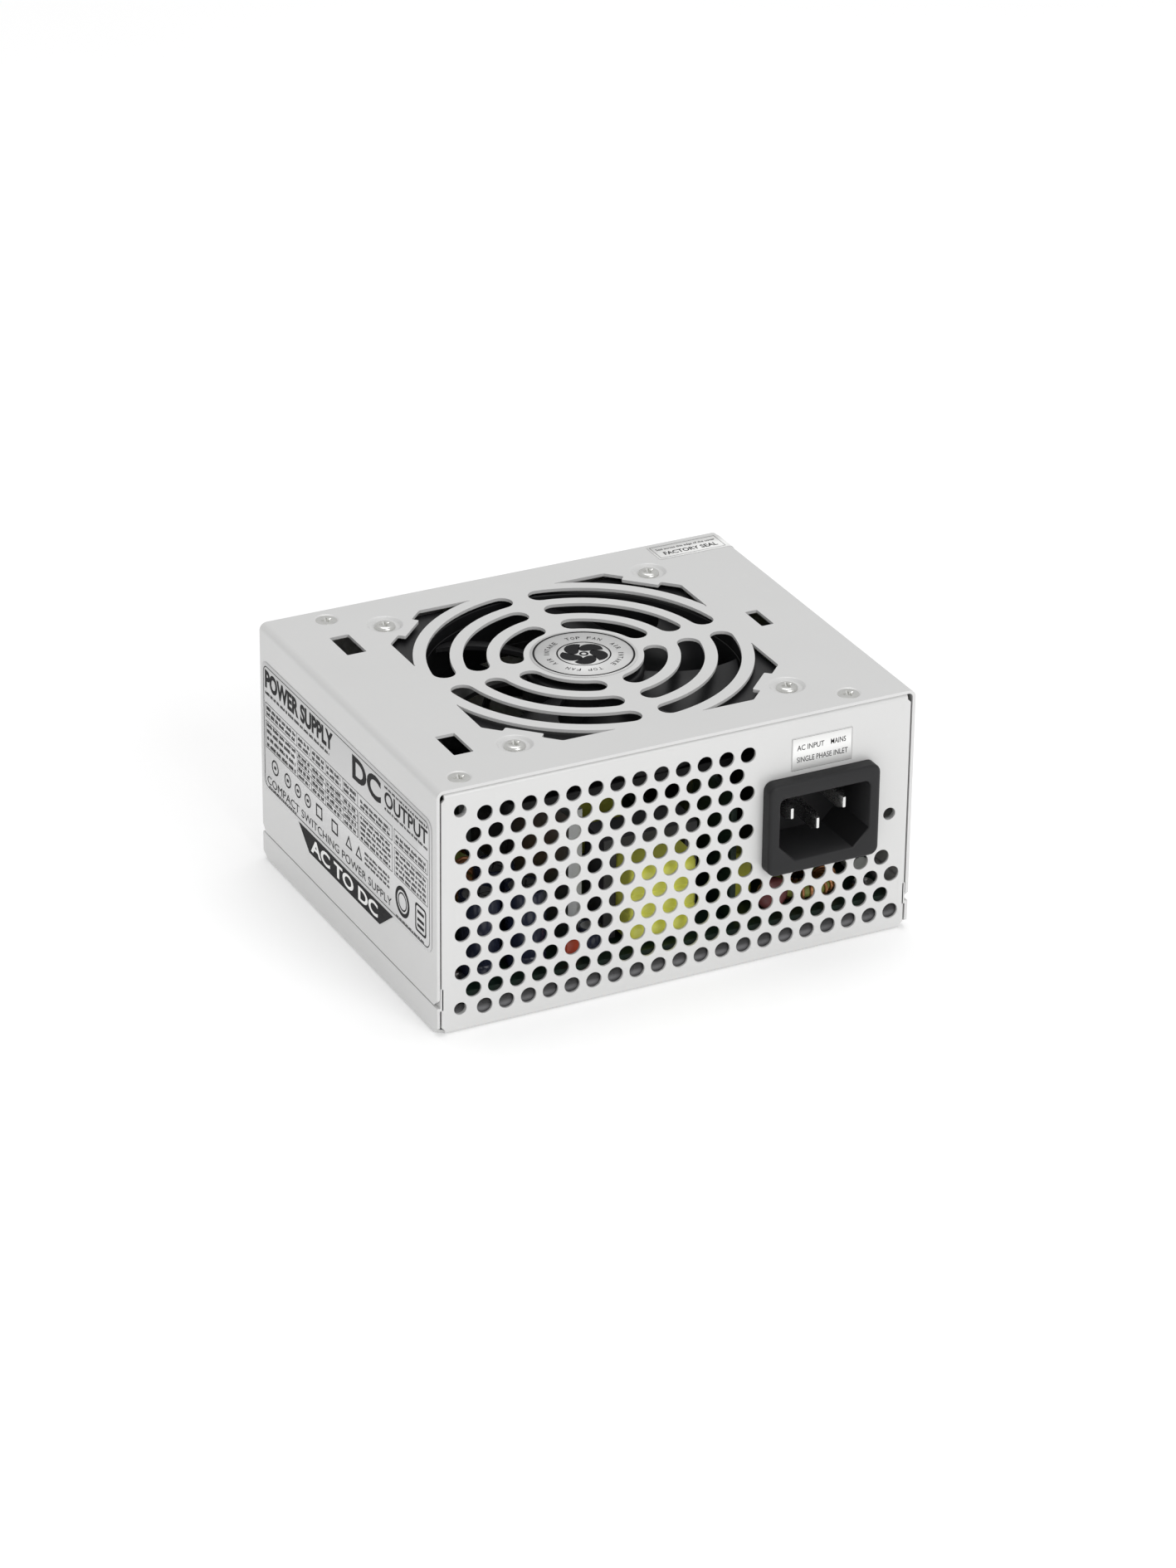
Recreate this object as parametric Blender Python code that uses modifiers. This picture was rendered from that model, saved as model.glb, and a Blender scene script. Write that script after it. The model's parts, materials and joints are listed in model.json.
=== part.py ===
"""Power supply unit of the small SFX form factor, with a top-mounted fan.

The origin is the centre of the underside. +Z is up through the fan grille, -Y is the
perforated mains panel, -X is the side with the rating label.
"""

import math

import bmesh
import bpy
from mathutils import Matrix, Vector

MM = 0.001

# Casing
WIDTH = 125 * MM
DEPTH = 100 * MM
HEIGHT = 63.5 * MM
SHEET = 0.8 * MM
COVER_BEND = 1.9 * MM
TRAY_BEND = 1.5 * MM
SIDE_WALL = 7.2 * MM
SEAM = 0.4 * MM
PANEL_GAP = 0.4 * MM
LAP_HEIGHT = 5 * MM
CORNER_CLIP = 1.8 * MM
RELIEF = 1.6 * MM
FOLD_DEPTH = 7.4 * MM

# Clearances between separate pieces
GAP = 0.3 * MM
SEAT = 0.1 * MM
STUCK = 0.05 * MM
CUT = 2 * MM

# Perforated mains panel
HOLE_RADIUS = 2.0 * MM
HOLE_PITCH = 5.68 * MM
ROW_PITCH = 5.03 * MM
HOLES_LEFT = 6.58 * MM
HOLES_RIGHT = 4.5 * MM
HOLES_BOTTOM = 5.33 * MM
HOLES_TOP = 7.6 * MM
MOUNT_RADIUS = 1.6 * MM
MOUNT_INSET = 6.0 * MM
MOUNT_RIGHT_HEIGHT = 31.75 * MM
MOUNT_CLEAR = 4.0 * MM

# Mains inlet
INLET_FROM_RIGHT = 25.5 * MM
INLET_HEIGHT = 35.7 * MM
BEZEL_WIDTH = 29.7 * MM
BEZEL_HEIGHT = 24.0 * MM
BEZEL_PROUD = 3.5 * MM
INLET_BODY = (26.6 * MM, 19.8 * MM)
INLET_BODY_DEPTH = 16 * MM
SOCKET = (24.1 * MM, 16.8 * MM)
SOCKET_DEPTH = 15.5 * MM
SOCKET_CHAMFER = 4.3 * MM
SOCKET_RISE = -0.2 * MM
PIN_SPACING = 14 * MM
PIN_RISE = 2.0 * MM
EARTH_DROP = 4.0 * MM
PIN_SIZE = (2 * MM, 4 * MM)
PIN_RECESS = 3.5 * MM
PIN_TAG = 5 * MM
LEAD_RADIUS = 1.2 * MM
LEAD_REACH = 4 * MM

# Fan and its grille
FAN_X = 0.3 * MM
FAN_Y = 0.75 * MM
FAN_SIZE = 80 * MM
FAN_THICKNESS = 15 * MM
FAN_SCREW_INSET = 4.25 * MM
FAN_WALL = 1.7 * MM
FAN_FLANGE = 3.2 * MM
FAN_CORNER = 4 * MM
BORE_STEPS = 32
STRUT_WIDTH = 3 * MM
STRUT_SHARE = 0.8
STRUT_ANGLE = math.radians(20)
BLADE_COUNT = 7
BLADE_GAP = 1.2 * MM
BLADE_THICKNESS = 1.0 * MM
BLADE_SHARE = 0.62
BLADE_SWEEP = (0.74, -0.1, 0.28)
BLADE_CAMBER = 0.18
ROTOR_DROP = 0.7 * MM
ROTOR_LIFT = 0.8 * MM
HUB_EDGE = 1 * MM
BOSS_DROP = 2.6 * MM
BEARING_DROP = 3.2 * MM
SHAFT_DROP = 1.8 * MM
HUB_RADIUS = 14.6 * MM
HUB_WALL = 1.4 * MM
MAGNET_WALL = 1.4 * MM
STATOR_CLEAR = 0.7 * MM
STATOR_SHARE = 0.62
STATOR_CORE = 2.2 * MM
POLE_SHOE = (math.radians(38), 1.6 * MM)
POLE_NECK = (math.radians(15), math.radians(30))
BASE_RADIUS = 13.6 * MM
BASE_THICKNESS = 1.6 * MM
BEARING_RADIUS = 3.4 * MM
SHAFT_RADIUS = 1.0 * MM
SHAFT_FIT = 0.12 * MM
RING_INNER = 14.4 * MM
RING_OVERLAP = 0.8 * MM
RING_RIB = 3.1 * MM
SPOKE = 4.6 * MM
RING_COUNT = 3
CORNER_REACH = 0.8 * MM
CORNER_TIP = 15 * MM
CORNER_BEVEL = 15 * MM
NOTCH_DEPTH = 1.9 * MM
NOTCH_WIDTH = 9.5 * MM
DIMPLE_DEPTH = 0.9 * MM
DIMPLE_TOP = 4.4 * MM
DIMPLE_FLOOR = 3.6 * MM
BADGE_RADIUS = 12.9 * MM

# Side slots of the cover
HOOK_SLOT = (5.0 * MM, 10.6 * MM)
HOOK_SLOT_INSET = 14.25 * MM
HOOK_SLOT_SPREAD = 29.55 * MM
HOOK_SLOT_SHIFT = 0.25 * MM
CATCH_SLOT = (3.3 * MM, 8.8 * MM)
CATCH_SLOT_INSET = 14.7 * MM

# Screws
SCREW_SHANK = 1.5 * MM
COVER_SCREW_HEAD = 2.7 * MM
COVER_SCREW_LENGTH = 5 * MM
COVER_SCREW_FROM_EDGE = 5.1 * MM
COVER_SCREW_NEAR = 8.1 * MM
COVER_SCREW_FAR = 15.4 * MM
FAN_SCREW_HEAD = 2.6 * MM
FAN_SCREW_LENGTH = 8 * MM
BOARD_SCREW_HEAD = 2.8 * MM
RECESS_WIDTH = 0.6 * MM
RECESS_DEPTH = 0.5 * MM

# Labels
LABEL_THICKNESS = 0.15 * MM
RATING_WIDTH = 96 * MM
RATING_HEIGHT = 34.6 * MM
RATING_FROM_TOP = 8.8 * MM
RATING_SHIFT = 0.65 * MM
TAB_DROP = 5.6 * MM
TAB_TOP = (-26.3 * MM, 27.8 * MM)
TAB_BOTTOM = (-18.8 * MM, 21.6 * MM)
INLET_LABEL = (16.2 * MM, 8.5 * MM)
INLET_LABEL_ABOVE = 17.4 * MM
INLET_LABEL_SHIFT = 0.5 * MM
LABEL_CORNER = 0.4 * MM
WARRANTY_LABEL = (19.0 * MM, 7.5 * MM)
WARRANTY_FROM_BACK = 1.5 * MM

# Circuit board
STANDOFF = 6.1 * MM
STANDOFF_RADIUS = 3 * MM
BOARD_THICKNESS = 1.6 * MM
BOARD_CLEAR = 2 * MM
BOARD_HOLE_INSET = 5.2 * MM
FILM = 0.4 * MM
FILM_BEND = 2.2 * MM

# Pieces used at more than one place on the board
DISC_FACE_SHARE = 0.8
DISC_LEGS = 1 * MM
SINK_PLATE = 2.4 * MM
SINK_FIN = 2.6 * MM
SINK_FIN_THICKNESS = 1.2 * MM
SINK_FIN_PITCH = 6 * MM
DEVICE_BODY = (4.4 * MM, 10 * MM, 12 * MM)
DEVICE_TAB = (1.3 * MM, 10 * MM, 19 * MM)
DEVICE_FOOT = 10 * MM
DEVICE_LIFT = 0.4 * MM
DEVICE_HOLE_RADIUS = 1.8 * MM
DEVICE_HOLE_DROP = 3.4 * MM

# Main transformer
TRANSFORMER_X = -1.7 * MM
TRANSFORMER_FROM_FRONT = 4 * MM
WINDING = (17.6 * MM, 24 * MM, 21.5 * MM)
WINDING_EDGE = 1.6 * MM
WINDING_LIFT = 0.6 * MM
CORE_LEG = 3.2 * MM
CORE_POST = 7 * MM
CORE_THICKNESS = 10 * MM
CORE_BAR = 3.8 * MM

# Mains filter, placed from the inlet's centre line and the mains panel
FILTER_CHOKE_PLACE = (3 * MM, 14 * MM)
FILTER_CHOKE = (6.4 * MM, 3.1 * MM)
VARISTOR_PLACE = (-8.5 * MM, 6 * MM)
VARISTOR = (4.2 * MM, 3.2 * MM)
X_CAPACITOR_PLACE = (-14 * MM, 20 * MM)
X_CAPACITOR = (8 * MM, 14 * MM, 13 * MM)
FUSE_FROM_RIGHT = 6 * MM
FUSE_FROM_FRONT = 22 * MM
FUSE_RADIUS = 2.6 * MM
FUSE_LENGTH = 18 * MM
FUSE_CAP_SHARE = 0.28
FUSE_GLASS_SHARE = 0.9

# Primary side, placed across from the inlet's centre line
BULK_PLACE = (7 * MM, 40 * MM)
BULK = (11 * MM, 34 * MM)
BULK_STEPS = 20
PFC_CHOKE_PLACE = (6 * MM, 22 * MM)
PFC_CHOKE = (25 * MM, 21 * MM, 23 * MM)
PFC_CHOKE_EDGE = 1.5 * MM
BRIDGE_PLACE = (1 * MM, 39.5 * MM)
BRIDGE = (19 * MM, 4.5 * MM, 15 * MM)
PRIMARY_SINK_X = -11 * MM
PRIMARY_SINK_SPAN = (-16 * MM, 34 * MM)
PRIMARY_SINK_TOP = 43 * MM
SWITCH_Y = 4 * MM
STANDBY_PLACE = (3 * MM, 9 * MM)
STANDBY = (18 * MM, 15 * MM, 16 * MM)
STANDBY_EDGE = 1.2 * MM
CONTROL_PLACE = (17.9 * MM, 16 * MM)
CONTROL = (1.6 * MM, 20 * MM, 34 * MM)
CONTROL_EDGE = 0.2 * MM

# Secondary side
SECONDARY_SINK_X = -22.4 * MM
SECONDARY_SINK_FROM_FRONT = 10.4 * MM
SECONDARY_SINK_END = 20 * MM
SECONDARY_SINK_TOP = 43.5 * MM
RECTIFIER_Y = -2 * MM
OUTPUT_CHOKE_PLACE = (-42 * MM, -3 * MM)
OUTPUT_CHOKE = (8.6 * MM, 4.6 * MM)
OUTPUT_CHOKE_FLAT = 1.25
OUTPUT_CANS = ((-35 * MM, 10 * MM), (-46.5 * MM, 11 * MM), (-37 * MM, 23 * MM))
OUTPUT_CAN = (5 * MM, 20 * MM)
SMALL_CAN_PLACE = (-19.6 * MM, 7 * MM)
SMALL_CAN = (2.8 * MM, 7.4 * MM)
FILM_CAPACITOR_PLACE = (-24.9 * MM, 6.6 * MM)
FILM_CAPACITOR = (4.2 * MM, 3 * MM, 5.6 * MM)

# Cable outlet of the rear panel
OUTLET_FROM_LEFT = 24.5 * MM
OUTLET_HEIGHT = 20 * MM
OUTLET_RADIUS = 10 * MM
GROMMET_BORE = 8 * MM
GROMMET_FLANGE = 11.6 * MM
GROMMET_LIP = 1.5 * MM

# Places that several pieces share
FRONT = -DEPTH / 2
BACK = DEPTH / 2
LEFT = -WIDTH / 2
RIGHT = WIDTH / 2
SEAM_TOP = SIDE_WALL + SEAM
FOLD_TOP = HEIGHT - SHEET - SEAT
FAN_TOP = HEIGHT - DIMPLE_DEPTH - SHEET - SEAT
FAN_BOTTOM = FAN_TOP - FAN_THICKNESS
FAN_SCREW_REACH = FAN_SIZE / 2 - FAN_SCREW_INSET
FAN_BORE = FAN_SIZE / 2 - FAN_WALL
RING_SLOT = (FAN_SIZE / 2 + RING_OVERLAP - RING_INNER) / RING_COUNT - RING_RIB
ROTOR_TOP = FAN_TOP - ROTOR_DROP
ROTOR_LOW = FAN_BOTTOM + BASE_THICKNESS + ROTOR_LIFT
INLET_X = RIGHT - INLET_FROM_RIGHT
OUTLET_X = LEFT + OUTLET_FROM_LEFT
BOARD_BOTTOM = SHEET + STANDOFF
BOARD_TOP = BOARD_BOTTOM + BOARD_THICKNESS
PART_FOOT = BOARD_TOP + GAP
BOARD_HALF = (WIDTH / 2 - SHEET - BOARD_CLEAR, DEPTH / 2 - SHEET - BOARD_CLEAR)
UPRIGHT = (math.pi / 2, 0, 0)
SIDEWAYS = (math.pi / 2, 0, math.pi / 2)

FINISHES = {
    "painted_steel": ((0.64, 0.64, 0.63), 0.42, 0.35),
    "black_plastic": ((0.03, 0.03, 0.032), 0.45, 0.0),
    "fan_plastic": ((0.035, 0.035, 0.038), 0.4, 0.0),
    "bright_steel": ((0.72, 0.72, 0.7), 0.25, 1.0),
    "label_paper": ((0.9, 0.9, 0.88), 0.5, 0.0),
    "insulating_film": ((0.02, 0.02, 0.02), 0.15, 0.0),
    "board_laminate": ((0.07, 0.22, 0.12), 0.5, 0.0),
    "aluminium": ((0.6, 0.61, 0.62), 0.35, 1.0),
    "ferrite": ((0.07, 0.07, 0.075), 0.6, 0.0),
    "yellow_tape": ((0.78, 0.74, 0.1), 0.4, 0.0),
    "green_choke": ((0.35, 0.45, 0.12), 0.45, 0.0),
    "capacitor_sleeve": ((0.04, 0.05, 0.09), 0.35, 0.0),
    "maroon_epoxy": ((0.3, 0.1, 0.08), 0.4, 0.0),
    "red_epoxy": ((0.6, 0.12, 0.05), 0.35, 0.0),
    "component_body": ((0.05, 0.05, 0.05), 0.5, 0.0),
    "copper": ((0.75, 0.4, 0.22), 0.3, 1.0),
    "magnet": ((0.16, 0.16, 0.17), 0.6, 0.2),
    "brass": ((0.75, 0.6, 0.3), 0.3, 1.0),
    "brown_lead": ((0.22, 0.1, 0.05), 0.5, 0.0),
    "blue_lead": ((0.08, 0.16, 0.5), 0.5, 0.0),
    "green_lead": ((0.25, 0.5, 0.1), 0.5, 0.0),
    "black_lead": ((0.03, 0.03, 0.03), 0.5, 0.0),
    "rubber": ((0.03, 0.03, 0.03), 0.8, 0.0),
    "glass_tube": ((0.75, 0.78, 0.78), 0.15, 0.0),
}


def make_collection(name):
    collection = bpy.data.collections.new(name)
    bpy.context.scene.collection.children.link(collection)
    return collection


def clear_scene():
    for obj in list(bpy.data.objects):
        bpy.data.objects.remove(obj, do_unlink=True)


clear_scene()
PARTS = make_collection("power_supply_unit")
CUTTERS = make_collection("cutters")


def finish(name):
    """The named Principled material, made once."""
    if name in bpy.data.materials:
        return bpy.data.materials[name]
    colour, roughness, metallic = FINISHES[name]
    material = bpy.data.materials.new(name)
    material.use_nodes = True
    shader = material.node_tree.nodes["Principled BSDF"]
    shader.inputs["Base Color"].default_value = (*colour, 1)
    shader.inputs["Roughness"].default_value = roughness
    shader.inputs["Metallic"].default_value = metallic
    material.diffuse_color = (*colour, 1)
    return material


def add_part(name, data, finish_name, place=(0, 0, 0), turn=(0, 0, 0)):
    """A sub-part of the unit: an object with its own material."""
    obj = bpy.data.objects.new(name, data)
    obj.location = place
    obj.rotation_euler = turn
    obj.data.materials.append(finish(finish_name))
    PARTS.objects.link(obj)
    return obj


def add_helper(name, data, place=(0, 0, 0), turn=(0, 0, 0)):
    """A shape that cuts or joins another one and isn't part of the unit."""
    obj = bpy.data.objects.new(name, data)
    obj.location = place
    obj.rotation_euler = turn
    obj.hide_render = True
    obj.display_type = "WIRE"
    CUTTERS.objects.link(obj)
    return obj


def combine(obj, other, operation):
    modifier = obj.modifiers.new(operation.title(), "BOOLEAN")
    modifier.operation = operation
    modifier.solver = "EXACT"
    modifier.object = other


def cut(obj, *cutters):
    for cutter in cutters:
        combine(obj, cutter, "DIFFERENCE")


def join(obj, *pieces):
    for piece in pieces:
        combine(obj, piece, "UNION")


def round_edges(obj, width, segments=1):
    modifier = obj.modifiers.new("Rounded edges", "BEVEL")
    modifier.width = width
    modifier.segments = segments
    modifier.limit_method = "ANGLE"
    modifier.angle_limit = math.radians(40)


def mesh_from(name, bm):
    mesh = bpy.data.meshes.new(name)
    bm.to_mesh(mesh)
    bm.free()
    return mesh


def blocks(name, *boxes):
    """Boxes in one mesh, each given as its centre, its size and a turn about Z."""
    bm = bmesh.new()
    for box in boxes:
        centre, size, *turn = box
        place = Matrix.Translation(centre) @ Matrix.Rotation(turn[0] if turn else 0, 4, "Z")
        bmesh.ops.create_cube(bm, size=1, matrix=place @ Matrix.Diagonal((*size, 1)))
    return mesh_from(name, bm)


def rods(name, centres, radius, length, axis="Z", sides=12, end_radius=None):
    """Equal cylinders or cones in one mesh, centred on the points given."""
    turns = {"Z": Matrix(), "Y": Matrix.Rotation(math.pi / 2, 4, "X")}
    bm = bmesh.new()
    for centre in centres:
        bmesh.ops.create_cone(
            bm,
            cap_ends=True,
            segments=sides,
            radius1=radius,
            radius2=radius if end_radius is None else end_radius,
            depth=length,
            matrix=Matrix.Translation(centre) @ turns[axis],
        )
    return mesh_from(name, bm)


def turned(obj, steps=16):
    """Turns the profile of an object about its own Z axis."""
    screw = obj.modifiers.new("Turned", "SCREW")
    screw.axis = "Z"
    screw.steps = steps
    screw.render_steps = steps
    screw.use_merge_vertices = True
    screw.merge_threshold = 0.00001
    for polygon in obj.data.polygons:
        polygon.use_smooth = True
    return obj


def profile(name, points, closed=False):
    """A line of edges in the XZ plane, from (radius, height) points that run downwards."""
    bm = bmesh.new()
    corners = [bm.verts.new((radius, 0, height)) for radius, height in points]
    for first, second in zip(corners, corners[1:]):
        bm.edges.new((first, second))
    if closed:
        bm.edges.new((corners[-1], corners[0]))
    return mesh_from(name, bm)


def arc(centre, radius, start, end, steps):
    """Points along an arc, with its angles in degrees."""
    points = []
    for step in range(steps + 1):
        angle = math.radians(start + (end - start) * step / steps)
        points.append((centre[0] + radius * math.cos(angle), centre[1] + radius * math.sin(angle)))
    return points


def rounded(points, radius, steps=3, closed=True):
    """A line of points with its corners rounded. Each corner may have its own radius."""
    radii = radius if isinstance(radius, (list, tuple)) else [radius] * len(points)
    result = []
    for index, point in enumerate(points):
        end_point = not closed and index in (0, len(points) - 1)
        if end_point or not radii[index]:
            result.append(tuple(point))
            continue
        here = Vector(point)
        before = (Vector(points[index - 1]) - here).normalized()
        after = (Vector(points[(index + 1) % len(points)]) - here).normalized()
        half = before.angle(after) / 2
        reach = radii[index] / math.tan(half)
        centre = here + (before + after).normalized() * radii[index] / math.sin(half)
        first = here + before * reach - centre
        last = here + after * reach - centre
        sweep = first.angle_signed(last)
        for step in range(steps + 1):
            spoke = first.copy()
            spoke.rotate(Matrix.Rotation(-sweep * step / steps, 2))
            result.append(tuple(centre + spoke))
    return result


def rectangle(width, height, centre=(0, 0)):
    x, y = centre
    return [
        (x - width / 2, y - height / 2),
        (x + width / 2, y - height / 2),
        (x + width / 2, y + height / 2),
        (x - width / 2, y + height / 2),
    ]


def flat_curve(name, outlines, thickness):
    """A flat outline given a thickness. An outline inside another one is a hole."""
    curve = bpy.data.curves.new(name, "CURVE")
    curve.dimensions = "2D"
    curve.fill_mode = "BOTH"
    curve.extrude = thickness / 2
    for outline in outlines:
        spline = curve.splines.new("POLY")
        spline.points.add(len(outline) - 1)
        for point, place in zip(spline.points, outline):
            point.co = (*place, 0, 1)
        spline.use_cyclic_u = True
    return curve


def tube_curve(name, points, radius):
    curve = bpy.data.curves.new(name, "CURVE")
    curve.dimensions = "3D"
    curve.bevel_depth = radius
    curve.bevel_resolution = 2
    curve.use_fill_caps = True
    spline = curve.splines.new("POLY")
    spline.points.add(len(points) - 1)
    for point, place in zip(spline.points, points):
        point.co = (*place, 1)
    return curve


def as_mesh(obj):
    """Replaces a curve object by a welded mesh object that can be cut or can cut."""
    bpy.context.view_layer.update()
    graph = bpy.context.evaluated_depsgraph_get()
    mesh = bpy.data.meshes.new_from_object(obj.evaluated_get(graph))
    bm = bmesh.new()
    bm.from_mesh(mesh)
    bmesh.ops.remove_doubles(bm, verts=bm.verts, dist=0.000001)
    bmesh.ops.recalc_face_normals(bm, faces=bm.faces)
    bm.to_mesh(mesh)
    bm.free()
    name, curve = obj.name, obj.data
    solid = bpy.data.objects.new(name + "_solid", mesh)
    solid.matrix_world = obj.matrix_world
    solid.hide_render = obj.hide_render
    solid.display_type = obj.display_type
    for collection in obj.users_collection:
        collection.objects.link(solid)
    bpy.data.objects.remove(obj)
    bpy.data.curves.remove(curve)
    solid.name = name
    return solid


def plate_helper(name, outlines, thickness, place, turn=(0, 0, 0)):
    return as_mesh(add_helper(name, flat_curve(name, outlines, thickness), place, turn))


def plate_part(name, outlines, thickness, finish_name, place, turn=(0, 0, 0)):
    return as_mesh(add_part(name, flat_curve(name, outlines, thickness), finish_name, place, turn))


def bent_sheet(name, line, start, end, along, thickness=SHEET):
    """An open sheet: a bent line drawn out along X or Y. Its outer side is left of the line."""
    bm = bmesh.new()
    spots = [(start, a, b) if along == "X" else (a, start, b) for a, b in line]
    corners = [bm.verts.new(spot) for spot in spots]
    edges = [bm.edges.new(pair) for pair in zip(corners, corners[1:])]
    drawn = bmesh.ops.extrude_edge_only(bm, edges=edges)["geom"]
    moved = [item for item in drawn if isinstance(item, bmesh.types.BMVert)]
    travel = (end - start, 0, 0) if along == "X" else (0, end - start, 0)
    bmesh.ops.translate(bm, verts=moved, vec=travel)
    return mesh_from(name, bm), thickness


def thicken(obj, thickness, offset):
    solidify = obj.modifiers.new("Sheet", "SOLIDIFY")
    solidify.thickness = thickness
    solidify.offset = offset
    solidify.use_even_offset = True


def smooth_route(points, steps=4):
    """Points along a smooth curve through the route's own points."""
    spots = [Vector(point) for point in points]
    spots = [2 * spots[0] - spots[1], *spots, 2 * spots[-1] - spots[-2]]
    route = []
    for a, b, c, d in zip(spots, spots[1:], spots[2:], spots[3:]):
        for step in range(steps):
            t = step / steps
            bend = 2 * a - 5 * b + 4 * c - d
            twist = 3 * b - 3 * c + d - a
            route.append((2 * b + (c - a) * t + bend * t * t + twist * t**3) / 2)
    return [*route, spots[-2]]


# Casing


def fan_screw_points():
    return [
        (FAN_X + sx * FAN_SCREW_REACH, FAN_Y + sy * FAN_SCREW_REACH)
        for sx, sy in ((-1, 1), (1, 1), (1, -1), (-1, -1))
    ]


def cover_screw_points():
    y = BACK - COVER_SCREW_FROM_EDGE
    return [
        (LEFT + COVER_SCREW_FAR, y),
        (RIGHT - COVER_SCREW_NEAR, y),
        (RIGHT - COVER_SCREW_FAR, -y),
        (LEFT + COVER_SCREW_NEAR, -y),
    ]


def ring_slot(inner, quarter):
    """A curved slot of the grille, with round ends beside the spokes."""
    outer, end_radius = inner + RING_SLOT, RING_SLOT / 2
    middle = inner + end_radius
    lean = math.degrees(math.asin((SPOKE / 2 + end_radius) / middle))
    first, last = 90 * quarter + lean, 90 * quarter + 90 - lean
    centre = (FAN_X, FAN_Y)
    ends = [arc(centre, middle, angle, angle, 1)[0] for angle in (first, last)]
    return (
        arc(centre, outer, first, last, 7)
        + arc(ends[1], end_radius, last, last + 180, 4)[1:-1]
        + arc(centre, inner, last, first, 5)
        + arc(ends[0], end_radius, first + 180, first + 360, 4)[1:-1]
    )


def corner_opening(sx, sy):
    """The opening between the outer ring of the grille and one corner of the fan."""
    reach = FAN_SIZE / 2 - CORNER_REACH
    bevel = FAN_SIZE / 2 - CORNER_BEVEL
    ring = RING_INNER + RING_COUNT * (RING_SLOT + RING_RIB)
    tip_angle = math.degrees(math.asin(reach / ring))
    start = min(CORNER_TIP, ring * math.cos(math.radians(tip_angle)))
    slope = (reach + bevel) / math.sqrt(2)
    notch = slope - NOTCH_DEPTH
    half = NOTCH_WIDTH / 2

    def on_diagonal(along, across):
        return ((along + across) / math.sqrt(2), (along - across) / math.sqrt(2))

    outline = [
        (reach, start),
        (reach, bevel),
        on_diagonal(slope, half),
        on_diagonal(notch, half),
        on_diagonal(notch, -half),
        on_diagonal(slope, -half),
        (bevel, reach),
        (start, reach),
    ]
    outline += arc((0, 0), ring, tip_angle, 90 - tip_angle, 7)[1:-1]
    return [(FAN_X + sx * x, FAN_Y + sy * y) for x, y in outline]


def make_top_cover():
    corners = [(LEFT, SEAM_TOP), (LEFT, HEIGHT), (RIGHT, HEIGHT), (RIGHT, SEAM_TOP)]
    line = rounded(corners, COVER_BEND, steps=4, closed=False)
    mesh, thickness = bent_sheet("top_cover", line, FRONT, BACK, "Y")
    cover = add_part("top_cover", mesh, "painted_steel")
    thicken(cover, thickness, 1)

    screws = fan_screw_points()
    boss_depth = DIMPLE_DEPTH + SHEET / 2
    boss_centre = HEIGHT - SHEET / 2 - boss_depth / 2
    bosses = rods(
        "dimple_undersides",
        [(x, y, boss_centre) for x, y in screws],
        DIMPLE_FLOOR + SHEET,
        boss_depth,
        end_radius=DIMPLE_TOP + SHEET,
    )
    join(cover, add_helper("dimple_undersides", bosses))

    slope = (DIMPLE_TOP - DIMPLE_FLOOR) / DIMPLE_DEPTH
    dimples = rods(
        "dimples",
        [(x, y, HEIGHT - DIMPLE_DEPTH / 2 + CUT / 2) for x, y in screws],
        DIMPLE_FLOOR,
        DIMPLE_DEPTH + CUT,
        end_radius=DIMPLE_TOP + slope * CUT,
    )
    holes = rods("fan_screw_holes", [(x, y, HEIGHT) for x, y in screws], SCREW_SHANK + GAP, 4 * CUT, sides=8)
    sinks = rods(
        "countersinks",
        [(x, y, HEIGHT - SHEET / 2) for x, y in cover_screw_points()],
        SCREW_SHANK + GAP,
        SHEET + CUT / 10,
        end_radius=COVER_SCREW_HEAD + 2 * GAP,
    )
    slots = [
        ring_slot(RING_INNER + ring * (RING_SLOT + RING_RIB), quarter)
        for ring in range(RING_COUNT)
        for quarter in range(4)
    ]
    slots += [corner_opening(sx, sy)[:: sx * sy] for sx in (-1, 1) for sy in (-1, 1)]
    for side in (-1, 1):
        spot = (LEFT + HOOK_SLOT_INSET, HOOK_SLOT_SHIFT + side * HOOK_SLOT_SPREAD)
        slots.append(rectangle(*HOOK_SLOT, spot))
    slots.append(rectangle(*CATCH_SLOT, (RIGHT - CATCH_SLOT_INSET, FAN_Y)))
    cut(
        cover,
        add_helper("dimples", dimples),
        add_helper("fan_screw_holes", holes),
        add_helper("countersinks", sinks),
        plate_helper("grille_openings", slots, 3 * CUT, (0, 0, HEIGHT)),
    )
    clip_side = CORNER_CLIP * math.sqrt(2)
    clip = blocks("corner_clip", ((0, 0, 0), (WIDTH + CUT, clip_side, clip_side)))
    for y in (FRONT, BACK):
        cut(cover, add_helper("corner_clip", clip, (0, y, SEAM_TOP), (math.pi / 4, 0, 0)))
    return cover


def panel_holes():
    """Centres of the perforation, in rows that are offset by half a pitch."""
    mounts = mount_points()
    inlet_left = INLET_X - BEZEL_WIDTH / 2 - HOLE_RADIUS - SHEET
    inlet_bottom = INLET_HEIGHT - BEZEL_HEIGHT / 2
    found = []
    row, z = 0, HOLES_BOTTOM
    while z <= HEIGHT - HOLES_TOP:
        x = LEFT + HOLES_LEFT + (HOLE_PITCH / 2 if row % 2 else 0)
        while x <= RIGHT - HOLES_RIGHT:
            by_inlet = x > inlet_left and z > inlet_bottom
            by_mount = any(math.hypot(x - a, z - b) < MOUNT_CLEAR for a, b in mounts)
            if not by_inlet and not by_mount:
                found.append((x, FRONT, z))
            x += HOLE_PITCH
        row += 1
        z += ROW_PITCH
    return found


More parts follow.
